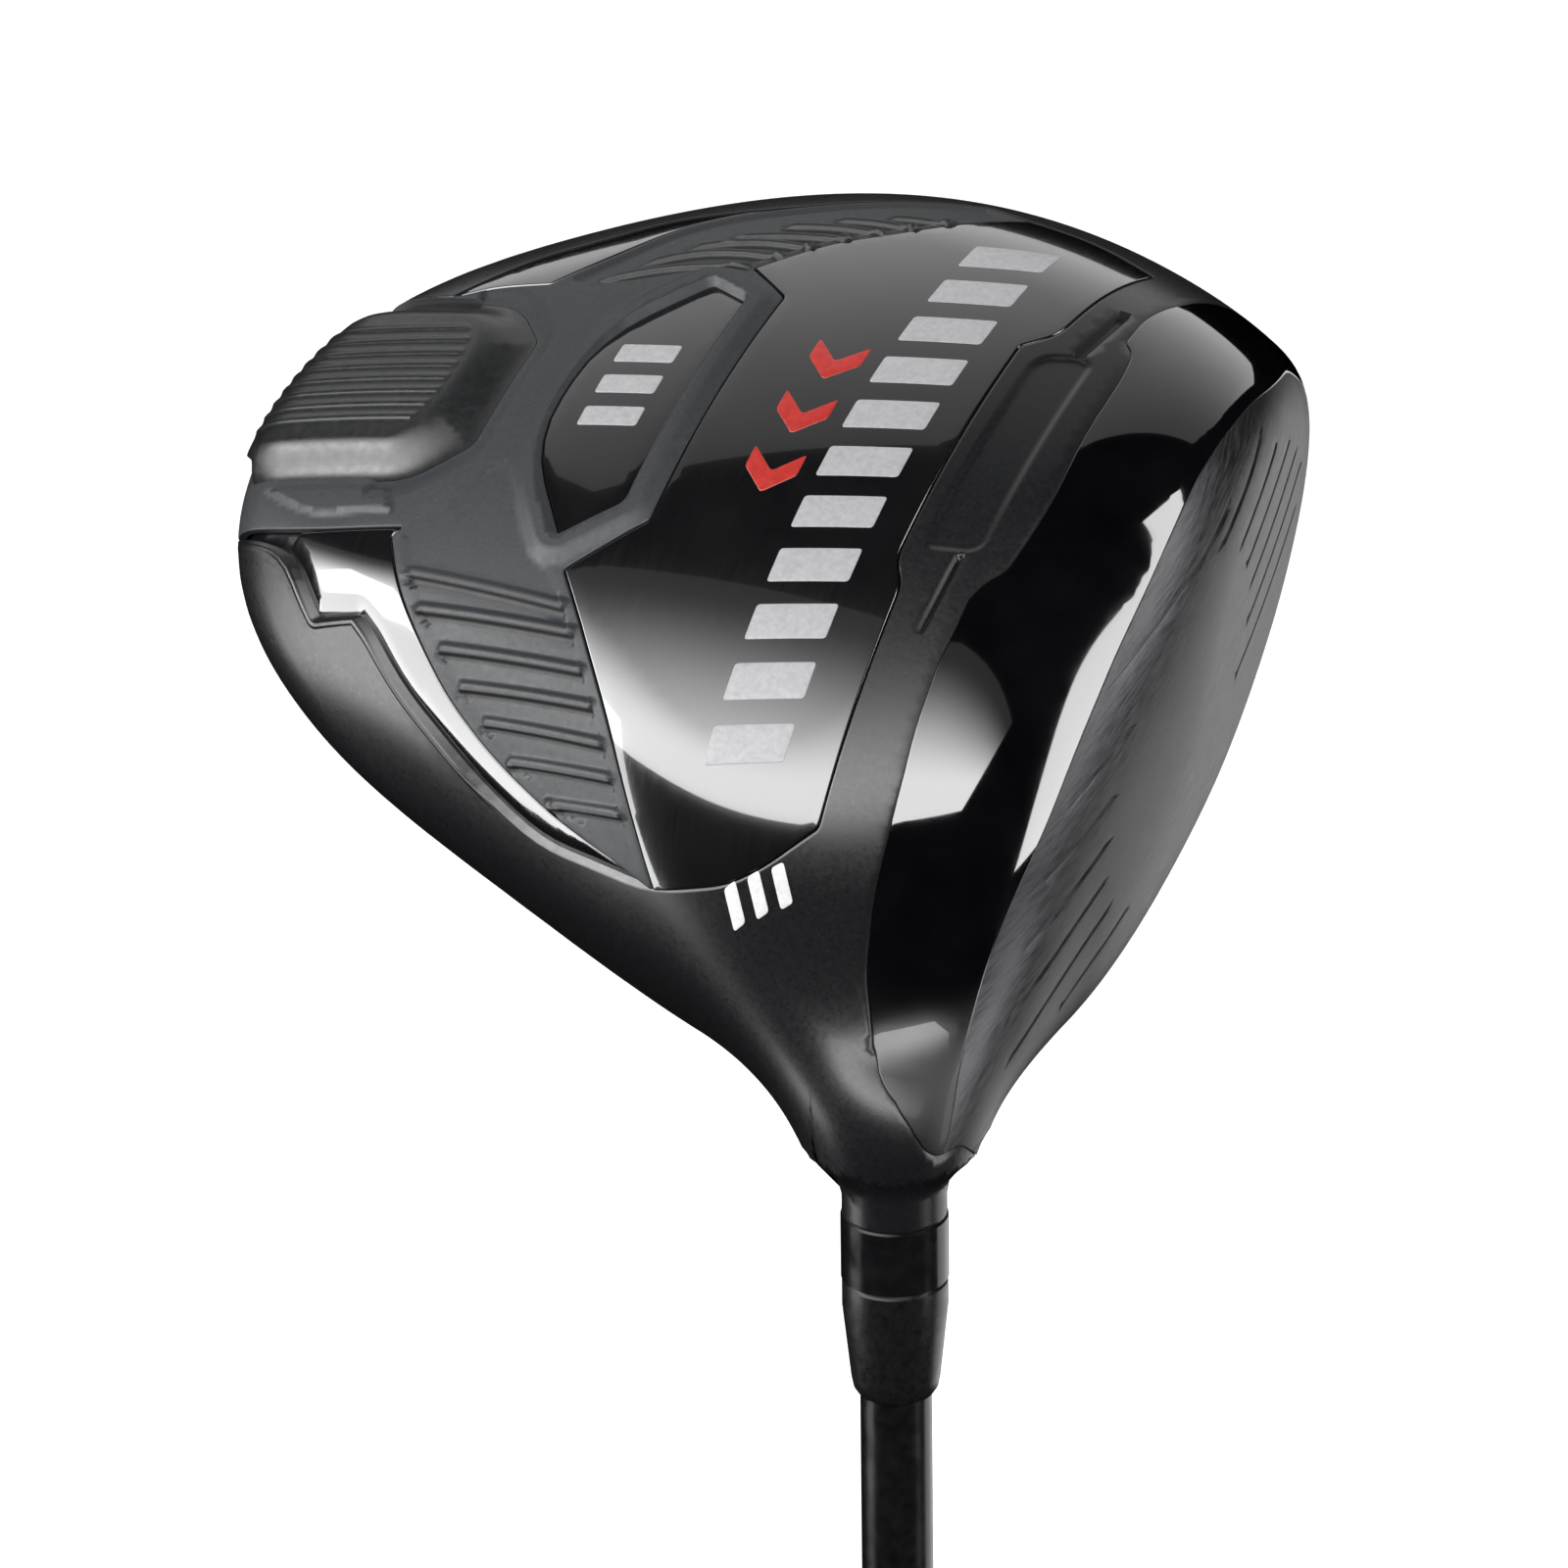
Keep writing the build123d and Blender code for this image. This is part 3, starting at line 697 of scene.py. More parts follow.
frame_plan = (wing_plan + [(-6.7, -60.3), (30.0, -59.7)] + toe_wing_plan
              + [(27.6, -100.5), (25.9, -105.2), tail_toe, tail_heel, (-11.4, -108.6), (-10.8, -93.5)])
badge_plan = [(30.9, -70.0), (28.5, -64.1), (-4.9, -64.6), (-10.4, -71.5), (2.4, -80.9),
              (19.3, -79.9)]
toe_plan = [(25.9, -105.2), (27.6, -100.5), (28.5, -92.1), (35.1, -85.7), (41.2, -80.9),
            (45.4, -75.5), (48.8, -68.1), (43.5, -83.1), (38.2, -90.0), (34.4, -96.6)]
heel_plan = plate_plan[:8] + wing_plan[7::-1] + [(-10.8, -93.5), (-11.4, -108.6)]
main_plan = (wing_plan[8:] + [(-6.7, -60.3), (30.0, -59.7)] + toe_wing_plan[:5]
             + plate_plan[18:8:-1] + [(-45.0, -37.2)])
cover_plan = [at_tail(26.0, 21.5), (24.8, -94.5), (18.6, -88.6), (1.7, -89.3), (-4.1, -96.2),
              at_tail(-3.5, 21.5)]
plateau_plan = [at_tail(20.8, 20.0), (20.5, -98.5), (17.7, -96.1), (13.1, -95.6), (7.8, -95.9),
                (3.3, -97.8), (1.4, -100.0), at_tail(1.6, 20.0)]
channel_plan = [(30.0, -24.8), (31.3, -21.0), (30.5, -18.6), (-0.2, -18.6), (-1.8, -20.1),
                (-2.9, -25.6), (2.0, -26.2), (28.0, -26.0)]
slots_plan = [((31.6, -21.1), (35.9, -20.4), (40.1, -20.1), 0.85),
              ((-2.5, -21.2), (-7.6, -21.5), (-12.8, -21.9), 0.5)]
arm_plan = [(-4.8, -98.0), (-9.0, -95.4), (-9.6, -107.5), at_tail(-8.2, 13.0),
            at_tail(-4.8, 16.0)]

plate_loop = evened(rounded(on_sole(plate_plan)), 1.0)
badge_loop = evened(rounded(on_sole(badge_plan), 0.8), 0.8)
cover_loop = evened(rounded(on_sole(cover_plan), 1.2), 0.8)
plateau_loop = evened(rounded(on_sole(plateau_plan), 0.8), 0.8)
frame_loop = evened(rounded(on_sole(frame_plan)), 0.8)
main_loop = evened(rounded(on_sole(main_plan)), 0.9)
heel_loop = evened(rounded(on_sole(heel_plan)), 0.9)
toe_loop = evened(rounded(on_sole(toe_plan)), 0.9)
channel_loop = evened(rounded(on_sole(channel_plan), 1.2), 0.8)
arm_loop = evened(rounded(on_sole(arm_plan), 0.8), 0.8)
slot_lines = [(bowed(*on_sole([a, m, b])), wide) for a, m, b, wide in slots_plan]

# ---- the face cup, on the face's map
cup_edge = np.array([
    (55.9, -15.4, 29.3), (51.2, -16.6, 20.0), (44.3, -17.5, 13.0), (40.7, -17.9, 10.5),
    (35.6, -17.5, 8.1), (34.0, -15.8, 7.9), (19.2, -15.4, 4.0), (-2.1, -15.6, 3.2),
    (-4.2, -17.2, 2.9), (-6.8, -18.2, 2.8), (-12.5, -18.4, 3.6), (-15.7, -18.8, 4.1),
    (-24.0, -19.0, 6.4), (-33.5, -19.1, 11.4), (-40.6, -19.9, 17.2), (-46.7, -20.2, 25.2),
    (-50.7, -19.0, 29.3), (-55.6, -16.6, 33.5), (-60.0, -12.6, 36.9), (-60.1, -11.1, 40.3),
    (-59.2, -10.2, 42.2), (-56.2, -8.7, 43.7), (-50.0, -13.0, 52.0), (-44.0, -15.0, 56.0),
    (-30.0, -16.0, 61.0), (0.0, -16.0, 63.5), (30.0, -16.0, 58.0), (48.0, -15.5, 46.0),
    (55.0, -15.4, 36.0)])
face_edge = np.array([
    (47.7, -5.8, 26.0), (44.0, -4.4, 22.7), (35.3, -2.9, 15.4), (27.2, -2.3, 11.8),
    (19.4, -2.4, 10.4), (11.2, -2.2, 10.9), (4.5, -2.4, 12.2), (-4.0, -3.4, 14.2),
    (-15.8, -4.8, 17.9), (-27.9, -6.3, 23.4), (-34.0, -8.1, 27.3), (-45.3, -9.2, 34.4),
    (-55.0, -8.6, 38.4), (-58.6, -9.6, 42.4), (-55.6, -9.2, 45.6), (-45.0, -9.8, 53.0),
    (-30.0, -9.5, 58.5), (0.0, -9.2, 61.0), (28.0, -9.5, 56.0), (45.0, -10.0, 45.0),
    (50.5, -8.5, 35.0)])
cup_loop = evened(rounded(face_map.find(cup_edge), 0.8), 0.9)
face_loop = evened(rounded(face_map.find(face_edge), 0.8), 0.9)
SCORE_STEP = 5.15
score_lines = [(16.3, -7.0, 21.0)]
for k, span in enumerate([(17.5, 32.8), (20.9, 35.5), (22.2, 39.5), (22.3, 41.5), (21.5, 42.8),
                          (16.5, 40.0)]):
    score_lines.append((18.5 + SCORE_STEP * k, *span))
for k, span in enumerate([(-20.1, -8.0), (-27.6, -14.5), (-34.2, -18.0), (-40.2, -20.0),
                          (-43.4, -20.6), (-31.0, -17.0)]):
    score_lines.append((22.7 + SCORE_STEP * k, *span))


def under_cup(base):
    return CUP_DEEP * step_up(depth(face_map.find(base), cup_loop), -0.1, 0.3)


def groove(side, half, deep):
    return -deep * (1 - step_up(np.abs(side), half - 0.3, half))


# ---- body, crown and heel share the skin, and meet on the same points
HOSEL_TURN = np.arctan2(*(HOSEL_AT - sole_map.start)[:2])


def seam_points(count=330):
    """Where the crown meets the body: level with the widest line, and over the hosel."""
    turn = np.arange(count) * 2 * np.pi / count
    off = np.mod(turn - HOSEL_TURN + np.pi, 2 * np.pi) - np.pi
    drop = np.radians(92 + 34 * np.exp(-(np.degrees(off) / 28) ** 2))
    ways = sole_map.way(turn, drop)
    return sole_map.start + ways * cast(sole_map.start, ways)[:, None]


def collar_points(count=110, far=22.0):
    """Ring of the skin at one distance from the hosel's end."""
    turn = np.arange(count) * 2 * np.pi / count
    low, high = np.full(count, np.radians(2.0)), np.full(count, np.radians(108.0))
    for _ in range(18):
        half = (low + high) / 2
        ways = heel_map.way(turn, half)
        here = heel_map.start + ways * cast(heel_map.start, ways)[:, None]
        past = np.linalg.norm(here - HOSEL_AT, axis=1) > far
        high = np.where(past, half, high)
        low = np.where(past, low, half)
    return here


seam, neck_ring = seam_points(), collar_points()


def body_relief(at, base):
    plate_in = depth(at, plate_loop)
    height = -POCKET_DEEP * step_up(plate_in, -0.14, 0.22) - under_cup(base)
    beaded = step_up(-base[:, 0], 10.0, 13.0) * step_up(-base[:, 1], 72.0, 80.0)
    height += beaded * 0.3 * np.clip(1 - ((-plate_in - 0.75) / 0.6) ** 2, 0, 1) ** 2
    dip = depth(at, channel_loop)
    height -= 0.55 * step_up(dip, -0.2, 1.3) * (plate_in < 0.3)
    for line, half in slot_lines:
        height += groove(edge_distance(at, line, False), half, 1.0)
    return height


def ring_of(loop, gap, spacing=0.9):
    return evened(inset(loop, gap), spacing)


body_lines = [shifted(line, gap) for line, half in slot_lines
              for gap in (half, -half, half - 0.3, 0.3 - half)]
body_rings = [ring_of(plate_loop, gap) for gap in (-1.35, -1.05, -0.75, -0.45, -0.14, 0.22)]
body_rings += [ring_of(channel_loop, gap) for gap in (-0.2, 0.5, 1.3)]
cup_on_sole = sole_map.find(face_map.lay(cup_loop))
body_rings += [ring_of(cup_on_sole, gap) for gap in (-0.1, 0.3)]
body_cells = flat_cells(sole_map.find(seam), BODY_GRID, body_rings, body_lines,
                        [sole_map.find(neck_ring)])
panel("body_skin", sole_map, body_cells, body_relief, [satin],
      ["body_shell"])


def crown_relief(at, base):
    return -under_cup(base)


cup_on_crown = crown_map.find(face_map.lay(cup_loop))
crown_rings = [ring_of(cup_on_crown, gap) for gap in (-0.1, 0.3)]
crown_cells = flat_cells(crown_map.find(seam)[::-1], CROWN_GRID, crown_rings)
panel("crown_skin", crown_map, crown_cells, crown_relief, [satin],
      ["crown_shell"])

spin = (np.arange(72) * 2 * np.pi / 72)[:, None]
collar_rings = []
for radius, rise in [(HOSEL_R - 0.3, 0.0), (HOSEL_R, 0.02), (HOSEL_R, 0.4), (HOSEL_R, 2.5)]:
    rim = HOSEL_AT + radius * np.cos(spin) * np.array([0, 1, 0]) + radius * np.sin(spin) * TOE_AXIS
    collar_rings.append(heel_map.find(rim + rise * HEAD_AXIS))
cup_lines = []
for gap in (-0.1, 0.3):
    edge = face_map.lay(ring_of(cup_loop, gap))
    near = np.linalg.norm(edge - HOSEL_AT, axis=1) < 40.0
    cup_lines.append(heel_map.find(edge[near]))
panel("hosel_skin", heel_map, flat_cells(heel_map.find(neck_ring), 1.2, collar_rings, cup_lines),
      crown_relief, [satin], ["body_shell"])


def cup_relief(at, base):
    height = round_edge(depth(at, cup_loop), 0.25)
    height -= 0.1 * step_up(depth(at, face_loop), -0.15, 0.2)
    for up, low, high in score_lines:
        over = np.abs(base[:, 2] - up)
        beyond = np.maximum(low - base[:, 0], base[:, 0] - high)
        height -= 0.3 * (1 - step_up(np.maximum(over, beyond), 0.15, 0.4))
    return height


def score_edges():
    """Lines along both edges of every score line."""
    lines = []
    for up, start, end in score_lines:
        for off in (-0.42, -0.14, 0.14, 0.42):
            x = np.linspace(start, end, 24)
            ways = np.stack([x, np.full(24, -4.0), np.full(24, up + off)], -1)
            reach = np.full(24, 0.0)
            for _ in range(12):
                reach -= outside(ways + np.array([0, 1, 0]) * reach[:, None])
            lines.append(face_map.find(ways + np.array([0, 1, 0]) * reach[:, None]))
    return lines


cup_rings = [ring_of(cup_loop, gap) for gap in (0.1, 0.25)]
cup_rings += [ring_of(face_loop, gap) for gap in (-0.15, 0.2)] + [face_loop]
cup_cells = flat_cells(cup_loop, PANEL_GRID, cup_rings, score_edges())
panel("face_cup_skin", face_map, cup_cells, cup_relief, [piano, face_metal],
      ["face_cup"], CUP_DEEP, lambda at: depth(at, face_loop) > 0)

HEEL_LEVEL = -0.15
for name, loop, node, level in [("main_plate", main_loop, "sole_plate", 0.0),
                                ("heel_gloss_panel", heel_loop, "heel_panel", HEEL_LEVEL),
                                ("toe_gloss_panel", toe_loop, "toe_panel", -0.1),
                                ("badge_plate", badge_loop, "sole_badge", -0.5)]:
    edge = inset(loop, 0.12)

    def plate_relief(at, base, edge=edge, level=level):
        rolled = np.clip(1 - depth(at, plate_loop) / 3.0, 0, 1) if level == HEEL_LEVEL else 0
        return level + round_edge(depth(at, edge), 0.25) - 0.8 * rolled ** 2

    gaps = (0.1, 0.25, 0.8, 1.4, 2.1, 3.0) if level == HEEL_LEVEL else (0.1, 0.25)
    cells = flat_cells(edge, PANEL_GRID, [ring_of(edge, gap) for gap in gaps])
    panel(name, sole_map, cells, plate_relief, [gloss_panel], [node],
          PANEL_WALL)

# ---- the rib frame
rib_heel = [((-16.6, -90.2), (-19.2, -66.5)), ((-20.9, -87.3), (-22.2, -64.1)),
            ((-25.0, -82.9), (-26.4, -61.4)), ((-28.6, -79.0), (-30.1, -58.9)),
            ((-31.8, -74.8), (-33.9, -56.1)), ((-35.2, -70.3), (-37.1, -54.1)),
            ((-38.8, -64.0), (-40.2, -52.2))]
rib_toe = [((29.8, -85.9), (33.6, -76.4), (34.8, -67.0)),
           ((33.3, -81.8), (37.1, -73.8), (37.5, -63.6)),
           ((37.2, -77.6), (40.1, -69.4), (40.0, -60.5)),
           ((40.4, -73.0), (42.3, -65.3), (42.9, -57.6)),
           ((44.0, -67.8), (45.2, -61.2), (45.3, -54.6)),
           ((46.8, -62.1), (47.6, -56.5), (47.3, -50.9)),
           ((49.1, -56.2), (49.9, -51.8), (49.8, -47.5))]
heel_ribs = [evened(on_sole(rib), 0.7, False) for rib in rib_heel]
toe_ribs = [bowed(*on_sole(rib)) for rib in rib_toe]
floor_plan = ([(-9.0, -93.4)] + wing_plan + [(-12.5, -71.5), (0.5, -82.5), (-0.5, -86.0)])
floor_loop = evened(rounded(on_sole(floor_plan), 0.4), 0.8)
toe_floor_loop = evened(rounded(on_sole(toe_wing_plan + [(28.0, -84.0)]), 0.4), 0.8)


def louvre(side, height):
    """Section of a rib: it rises from a crease to a round ridge, then drops into a shadow."""
    rise = step_up(side, -1.15, -0.05) - 1.35 * step_up(side, 0.3, 1.0)
    return height * (rise + 0.35 * step_up(side, 1.35, 2.0))


def frame_relief(at, base):
    height = -0.5 * step_up(depth(at, floor_loop), 1.2, 1.8)
    height -= 0.45 * step_up(depth(at, toe_floor_loop), 0.8, 1.4)
    for rib in heel_ribs:
        side, along = beside(at, rib)
        long = np.hypot(*(rib[-1] - rib[0]))
        there = step_up(along, -0.6, 0.8) * (1 - step_up(along, long - 0.4, long + 0.3))
        height += louvre(-side, 0.85) * there
    for rib in toe_ribs:
        side, along = beside(at, rib)
        long = np.hypot(*(rib[-1] - rib[0]))
        there = step_up(along, -0.6, 1.2) * (1 - step_up(along, long - 0.2, long + 0.6))
        height += louvre(-side * 1.3, 0.6) * there
    from_badge = -depth(at, badge_loop)
    front = step_up(base[:, 1], -82.0, -76.0)
    height += 0.7 * front * step_up(from_badge, 0.0, 0.6) * (1 - step_up(from_badge, 2.0, 4.6))
    height -= 0.5 * (1 - step_up(from_badge, -0.1, 0.45))
    from_cover = -depth(at, cover_loop)
    height -= 0.8 * (1 - step_up(from_cover, 0.0, 3.4)) * (base[:, 1] > -101)
    height += 0.45 * step_up(depth(at, arm_loop), 0.0, 1.2)
    return height + round_edge(depth(at, frame_loop), 0.3)


def crease_shade_mask(at):
    """The steep side of every rib, where shade is painted on in near-black."""
    dark = np.zeros(len(at), bool)
    for ribs, sign in [(heel_ribs, -1.0), (toe_ribs, -1.3)]:
        for rib in ribs:
            side, along = beside(at, rib)
            long = np.hypot(*(rib[-1] - rib[0]))
            dark |= (side * sign > 0.3) & (side * sign < 1.35) & (along > 0.3) & (along < long)
    return dark


LOUVRE_BREAKS = (-1.15, -0.6, -0.05, 0.3, 0.65, 1.0, 1.35, 2.0)
frame_lines = [shifted(rib, -gap) for rib in heel_ribs for gap in LOUVRE_BREAKS]
frame_lines += [shifted(rib, -gap / 1.3) for rib in toe_ribs for gap in LOUVRE_BREAKS]
frame_rings = [ring_of(floor_loop, gap) for gap in (1.2, 1.8)]
frame_rings += [ring_of(toe_floor_loop, gap) for gap in (0.8, 1.4)]
frame_rings += [ring_of(badge_loop, gap) for gap in (-0.5, -2.0)]
frame_rings += [ring_of(cover_loop, gap) for gap in (-1.7, -3.4)]
frame_rings += [ring_of(arm_loop, gap) for gap in (0.0, 1.2)]
frame_rings += [ring_of(frame_loop, gap) for gap in (0.12, 0.3)]


def clipped(lines, outline, holes):
    """Lines cut where they leave an outline or enter a hole."""
    out = []
    for line in lines:
        if len(line) < 2:
            continue
        keep = depth(line, outline) > 0.15
        for hole in holes:
            keep &= depth(line, hole) < -0.15
        run = []
        for point, inside in zip(line, keep):
            if inside:
                run.append(point)
            elif len(run) > 1:
                out.append(np.array(run))
                run = []
            else:
                run = []
        if len(run) > 1:
            out.append(np.array(run))
    return out


edge = inset(frame_loop, 0.05)
holes = [badge_loop, cover_loop]
frame_lines += [np.concatenate([ring, ring[:1]]) for ring in frame_rings if len(ring) > 2]
frame_cells = flat_cells(edge, 0.75, (), clipped(frame_lines, edge, holes), holes)
# The frame's second material paints shade onto the steep side of every rib.
panel("rib_frame_skin", sole_map, frame_cells, frame_relief, [matt, crease_shade_paint],
      ["rib_frame"], 0.9, crease_shade_mask)


def cover_relief(at, base):
    out, up = depth(at, cover_loop), -depth(at, plateau_loop)
    share = np.clip(out, 0, 99) / np.maximum(np.clip(out, 0, 99) + np.clip(up, 0, 99), 1e-6)
    height = -0.8 + 2.2 * step_up(share, 0.05, 1.0)
    for row in range(8):
        off = base[:, 0] - (4.2 + 2.05 * row)
        height += 0.22 * np.exp(-(off / 0.45) ** 2) * step_up(-up, 0.3, 0.9)
    return height


ridge_lines = []
for row in range(8):
    for off in (-0.8, -0.4, 0.0, 0.4, 0.8):
        x = 4.2 + 2.05 * row + off
        ridge_lines.append(evened(on_sole([(x, -95.0), (x, -104.0), (x, -112.0), at_tail(x, 14.0),
                                           at_tail(x, 19.0)]), 1.0, False))
cover_edge = inset(cover_loop, 0.08)
cover_lines = clipped(ridge_lines, inset(plateau_loop, 0.2), [])
cover_rings = [plateau_loop, ring_of(plateau_loop, 0.4)]
cover_cells = flat_cells(cover_edge, 0.8, cover_rings, cover_lines)
panel("rear_cover_skin", sole_map, cover_cells, cover_relief, [cover],
      ["rear_cover"], PANEL_WALL)

# ---- marks filled with paint: plain slanted bars in place of lettering


def mark(name, plan, material, level, spacing=1.2):
    """A flat inlay just proud of the plate, with an eased edge."""
    loop = evened(rounded(on_sole(plan), 0.5), 0.5)

    def inlay(at, base):
        return level + 0.1 + round_edge(depth(at, loop), 0.1)

    cells = flat_cells(loop, spacing, [ring_of(loop, 0.1, 0.5)])
    return panel(name, sole_map, cells, inlay, [material], (), 0.15)


for k in range(11):
    x = 46.0 - 7.6 * k
    lean = 2.4
    mark(f"name_bar_{k + 1}", [(x, -42.4), (x - 4.6, -42.4), (x - 4.6 + lean, -32.6), (x + lean, -32.6)],
         silver_fill, 0.0)
for k in range(3):
    x = 24.0 - 9.0 * k
    mark(f"red_chevron_{k + 1}", [(x, -51.5), (x - 3.2, -51.5), (x - 6.4, -48.0), (x - 3.2, -44.6),
                                  (x, -44.6), (x - 3.2, -48.0)], red_fill, 0.0)
for k in range(3):
    x = 19.0 - 5.2 * k
    mark(f"badge_bar_{k + 1}", [(x, -76.4), (x - 3.0, -76.4), (x - 2.2, -68.4), (x + 0.8, -68.4)],
         silver_fill, -0.5)
for k in range(3):
    a, b = np.array([-48.6, -36.6]), np.array([-43.6, -26.0])
    start = a + (b - a) * (0.08 + 0.27 * k)
    mark(f"loft_bar_{k + 1}", [tuple(start + d) for d in ((0, 0), (3.0, -1.6), (3.9, -0.2), (0.9, 1.4))],
         white_fill, 0.0)

# ---- hosel collar, ferrule, shaft and grip
collar_top = HOSEL_END
collar_foot = HOSEL_END - COLLAR_LONG
ferrule_foot = collar_foot - FERRULE_LONG
# Polished anodised collar, turned plastic ferrule, lacquered graphite, and matt moulded rubber.
gloss_collar = plain_finish("gloss_black_collar", "#050506", "#0a0a0b", 0.16, 2.0, 0.0, 0.003)
ferrule_finish = plain_finish("satin_black_ferrule", "#060607", "#0c0c0d", 0.3, 0.8, 0.0, 0.004)
shaft_finish = plain_finish("black_lacquered_graphite", "#040405", "#0a0a0b", 0.22, 1.5, 0.0, 0.002)
rubber = plain_finish("moulded_black_rubber", "#121212", "#1c1c1c", 0.72, 0.5, 0.0, 0.03)
turned("collar", [(HOSEL_R - 1.2, collar_top), (COLLAR_R - 0.35, collar_top), (COLLAR_R, collar_top - 0.35),
                  (COLLAR_R, collar_foot + 0.3), (COLLAR_R - 0.3, collar_foot),
                  (TIP_R + 0.5, collar_foot)], gloss_collar, ["hosel_collar"])
turned("ferrule_ring", [(TIP_R + 0.5, collar_foot - 0.05), (COLLAR_R - 0.35, collar_foot - 0.05),
                        (COLLAR_R - 0.1, collar_foot - 0.3), (COLLAR_R - 0.1, collar_foot - 3.5),
                        (FERRULE_SMALL_R, ferrule_foot + 2.0),
                        (FERRULE_SMALL_R - 0.25, ferrule_foot + 0.7),
                        (TIP_R + 0.35, ferrule_foot), (TIP_R, ferrule_foot)],
       ferrule_finish, ["ferrule"])


def shaft_radius(z):
    return BUTT_R + (TIP_R - BUTT_R) * (z - BUTT_AT) / (STRAIGHT_FROM - BUTT_AT)


shaft_profile = [(TIP_R - 1.2, SHAFT_TIP), (TIP_R, SHAFT_TIP), (TIP_R, STRAIGHT_FROM)]
shaft_profile += [(shaft_radius(z), z) for z in np.linspace(STRAIGHT_FROM, BUTT_AT, 24)[1:]]
turned("shaft_tube", shaft_profile, shaft_finish, ["shaft"])


def grip_pattern(turn, z):
    """Moulded criss-cross of shallow grooves, left off near the ends."""
    one = np.abs(np.sin(turn * 6 + z * 0.12))
    two = np.abs(np.sin(turn * 6 - z * 0.12))
    cut = np.minimum(one, two)
    zone = step_up(z, 14, 18) * (1 - step_up(z, 236, 240))
    return -0.28 * (1 - step_up(cut, 0.05, 0.2)) * zone


grip_heights = np.linspace(GRIP_LONG - 2, BUTT_AT, 260)
grip_radii = np.interp(grip_heights, [4, 60, 130, 200, 266], [13.2, 12.1, 10.9, 9.9, 8.9])
grip_profile = [(shaft_radius(GRIP_LONG) - 0.1, GRIP_LONG), (7.7, GRIP_LONG)]
grip_profile += list(zip(grip_radii, grip_heights))
turned("grip_sleeve", grip_profile, rubber, ["grip"], 192, grip_pattern, 60)
cap_profile = [(12.0, 4.0), (13.4, 4.0), (13.95, 3.75), (14.2, 3.1), (14.2, 2.2), (14.0, 1.3), (13.4, 0.5),
               (12.6, 0.1), (12.0, 0.0), (8.2, 0.0), (8.0, 0.25), (7.4, 0.25), (7.2, 0.0), (1.6, 0.0),
               (1.6, 3.0)]
turned("grip_end_cap", cap_profile, rubber, ["grip_cap"])

# ---- CAD nodes that keep their shape: bare turned steel, dull rubber, grey epoxy and paper tape
inner_finishes = {
    "rear_weight": plain_finish("turned_steel", "#6c6c6e", "#8a8a8c", 0.35, 0.6, 1.0, 0.01),
    "damping_pad": plain_finish("damping_rubber", "#17181a", "#202124", 0.8, 0.8, 0.0, 0.03),
    "epoxy_sleeve": plain_finish("grey_epoxy", "#77746a", "#8c897e", 0.45, 1.0, 0.0, 0.01),
    "grip_tape": plain_finish("paper_grip_tape", "#b8b1a0", "#cdc6b4", 0.8, 0.6, 0.0, 0.02),
}
for node, finish in inner_finishes.items():
    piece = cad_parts[node]
    piece.data.materials.clear()
    piece.data.materials.append(finish)

# ---- floor, light and camera
scene = bpy.context.scene
floor_mesh = bpy.data.meshes.new("floor")
side = 14.0
floor_mesh.from_pydata([(-side, -side, 0), (side, -side, 0), (side, side, 0), (-side, side, 0)], [],
                       [(0, 1, 2, 3)])
floor = bpy.data.objects.new("floor", floor_mesh)
scene.collection.objects.link(floor)
floor_mesh.materials.append(plain_finish("pale_paper", "#f0f0f0", "#f4f4f4", 0.9, 40.0))
floor.visible_glossy = False

world = bpy.data.worlds.new("pale_room")
scene.world = world
world.use_nodes = True
world.node_tree.nodes["Background"].inputs["Color"].default_value = (1.0, 1.0, 1.0, 1.0)
world.node_tree.nodes["Background"].inputs["Strength"].default_value = 1.0
world.cycles_visibility.glossy = False
scene.view_settings.view_transform = "Standard"

head_at = Vector(to_club(np.array([[4.0, -54.0, 33.0]]))[0] * 0.001)


def toward(azimuth, elevation):
    a, e = np.radians(azimuth), np.radians(elevation)
    return Vector((np.cos(a) * np.cos(e), np.sin(a) * np.cos(e), np.sin(e)))


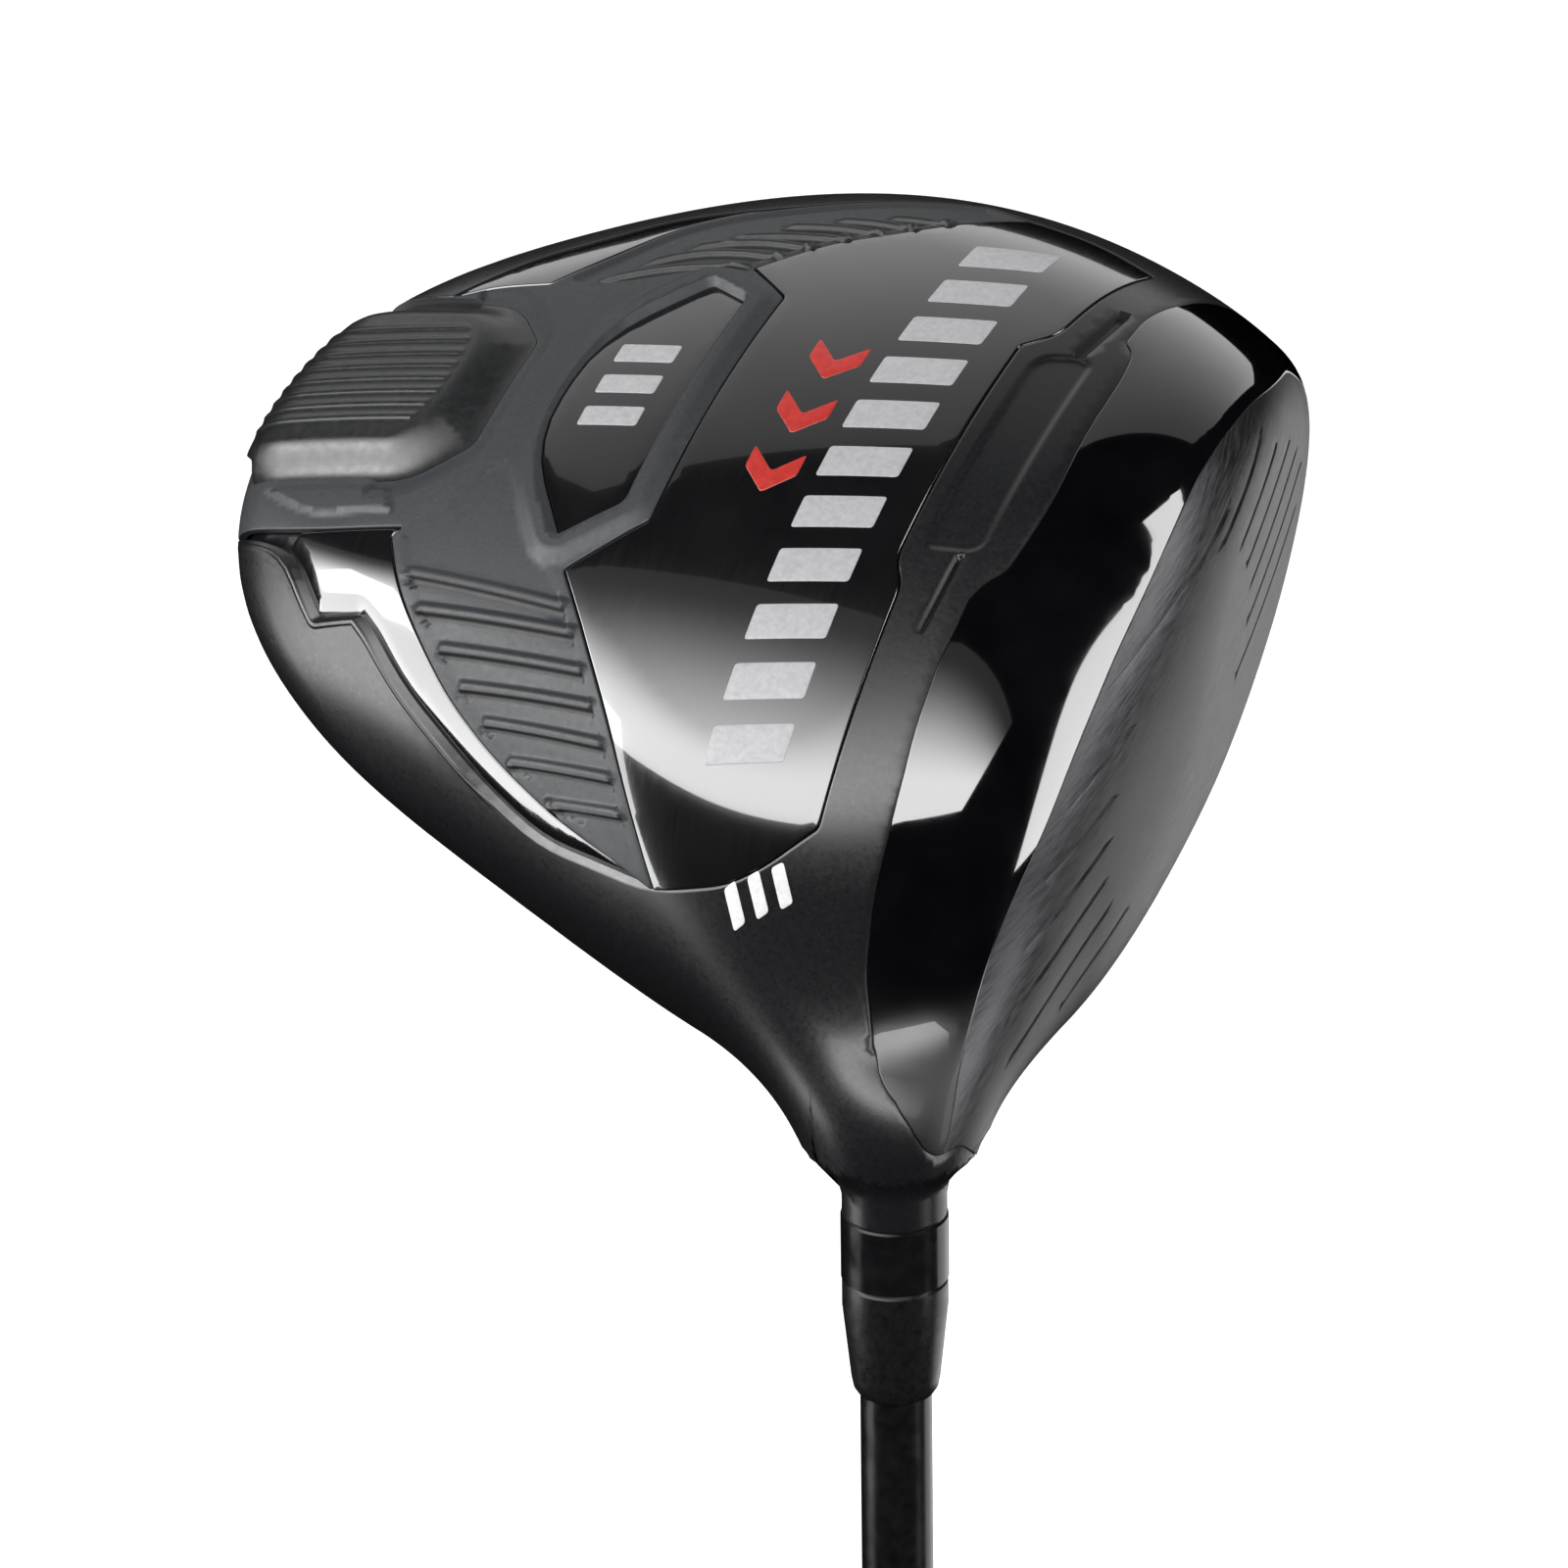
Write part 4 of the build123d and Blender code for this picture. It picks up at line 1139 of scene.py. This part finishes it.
def softbox(name, azimuth, elevation, far, width, height, glow, low=1.0, high=1.0, start=0.0,
            end=1.0):
    """Flat lamp that faces the head. Its glow goes from low to high between two heights on it."""
    lamp = bpy.data.lights.new(name, "AREA")
    lamp.shape = "RECTANGLE"
    lamp.size, lamp.size_y = width, height
    lamp.energy = glow * np.pi * width * height
    lamp.use_nodes = True
    tree = lamp.node_tree
    tree.nodes.clear()
    at = add(tree, "ShaderNodeNewGeometry")
    parts = add(tree, "ShaderNodeSeparateXYZ", {"Vector": at.outputs["Parametric"]})
    fade = add(tree, "ShaderNodeMapRange",
               {"Value": parts.outputs["Y"], "From Min": start, "From Max": end,
                "To Min": low, "To Max": high}, interpolation_type="SMOOTHSTEP")
    light = add(tree, "ShaderNodeEmission", {"Strength": fade.outputs["Result"]})
    add(tree, "ShaderNodeOutputLight", {"Surface": light.outputs[0]})
    piece = bpy.data.objects.new(name, lamp)
    scene.collection.objects.link(piece)
    way = toward(azimuth, elevation)
    piece.rotation_euler = way.to_track_quat("Z", "Y").to_euler()
    piece.location = head_at + way * far
    piece.visible_camera = False
    return piece


softbox("front_softbox", -97, 45, 1.3, 6.2, 1.2, 8.0, 1.0, 0.03, 0.3, 0.95)
softbox("left_strip", -151, 0, 1.4, 0.75, 1.4, 7.0)
softbox("right_strip", 8, 10, 1.4, 0.36, 1.8, 7.0)
softbox("back_fill", 112, 45, 1.8, 3.0, 2.0, 1.25, 1.0, 0.3, 0.0, 1.0)
softbox("face_fill", 68, -26, 1.5, 1.4, 0.7, 1.3)

SHAFT_TURN, RAISED, ROLL = np.radians(27.9), np.radians(25.48), np.radians(-0.66)
back = Vector((np.sin(SHAFT_TURN) * np.cos(RAISED), -np.cos(SHAFT_TURN) * np.cos(RAISED), np.sin(RAISED)))
right = Vector((np.cos(SHAFT_TURN), np.sin(SHAFT_TURN), 0.0))
upward = back.cross(right)
right, upward = (right * np.cos(ROLL) + upward * np.sin(ROLL),
                 upward * np.cos(ROLL) - right * np.sin(ROLL))
camera = bpy.data.cameras.new("camera")
camera.lens = 486.6
camera.sensor_width = 36.0
camera.clip_end = 60.0
viewer = bpy.data.objects.new("camera", camera)
scene.collection.objects.link(viewer)
aim = Vector((0, 0, HOSEL_END * 0.001)) - right * 0.01302 + upward * 0.05029
turn = [[right[k], upward[k], back[k], (aim + back * 2.5)[k]] for k in range(3)] + [[0, 0, 0, 1]]
viewer.matrix_world = Matrix(turn)
scene.camera = viewer
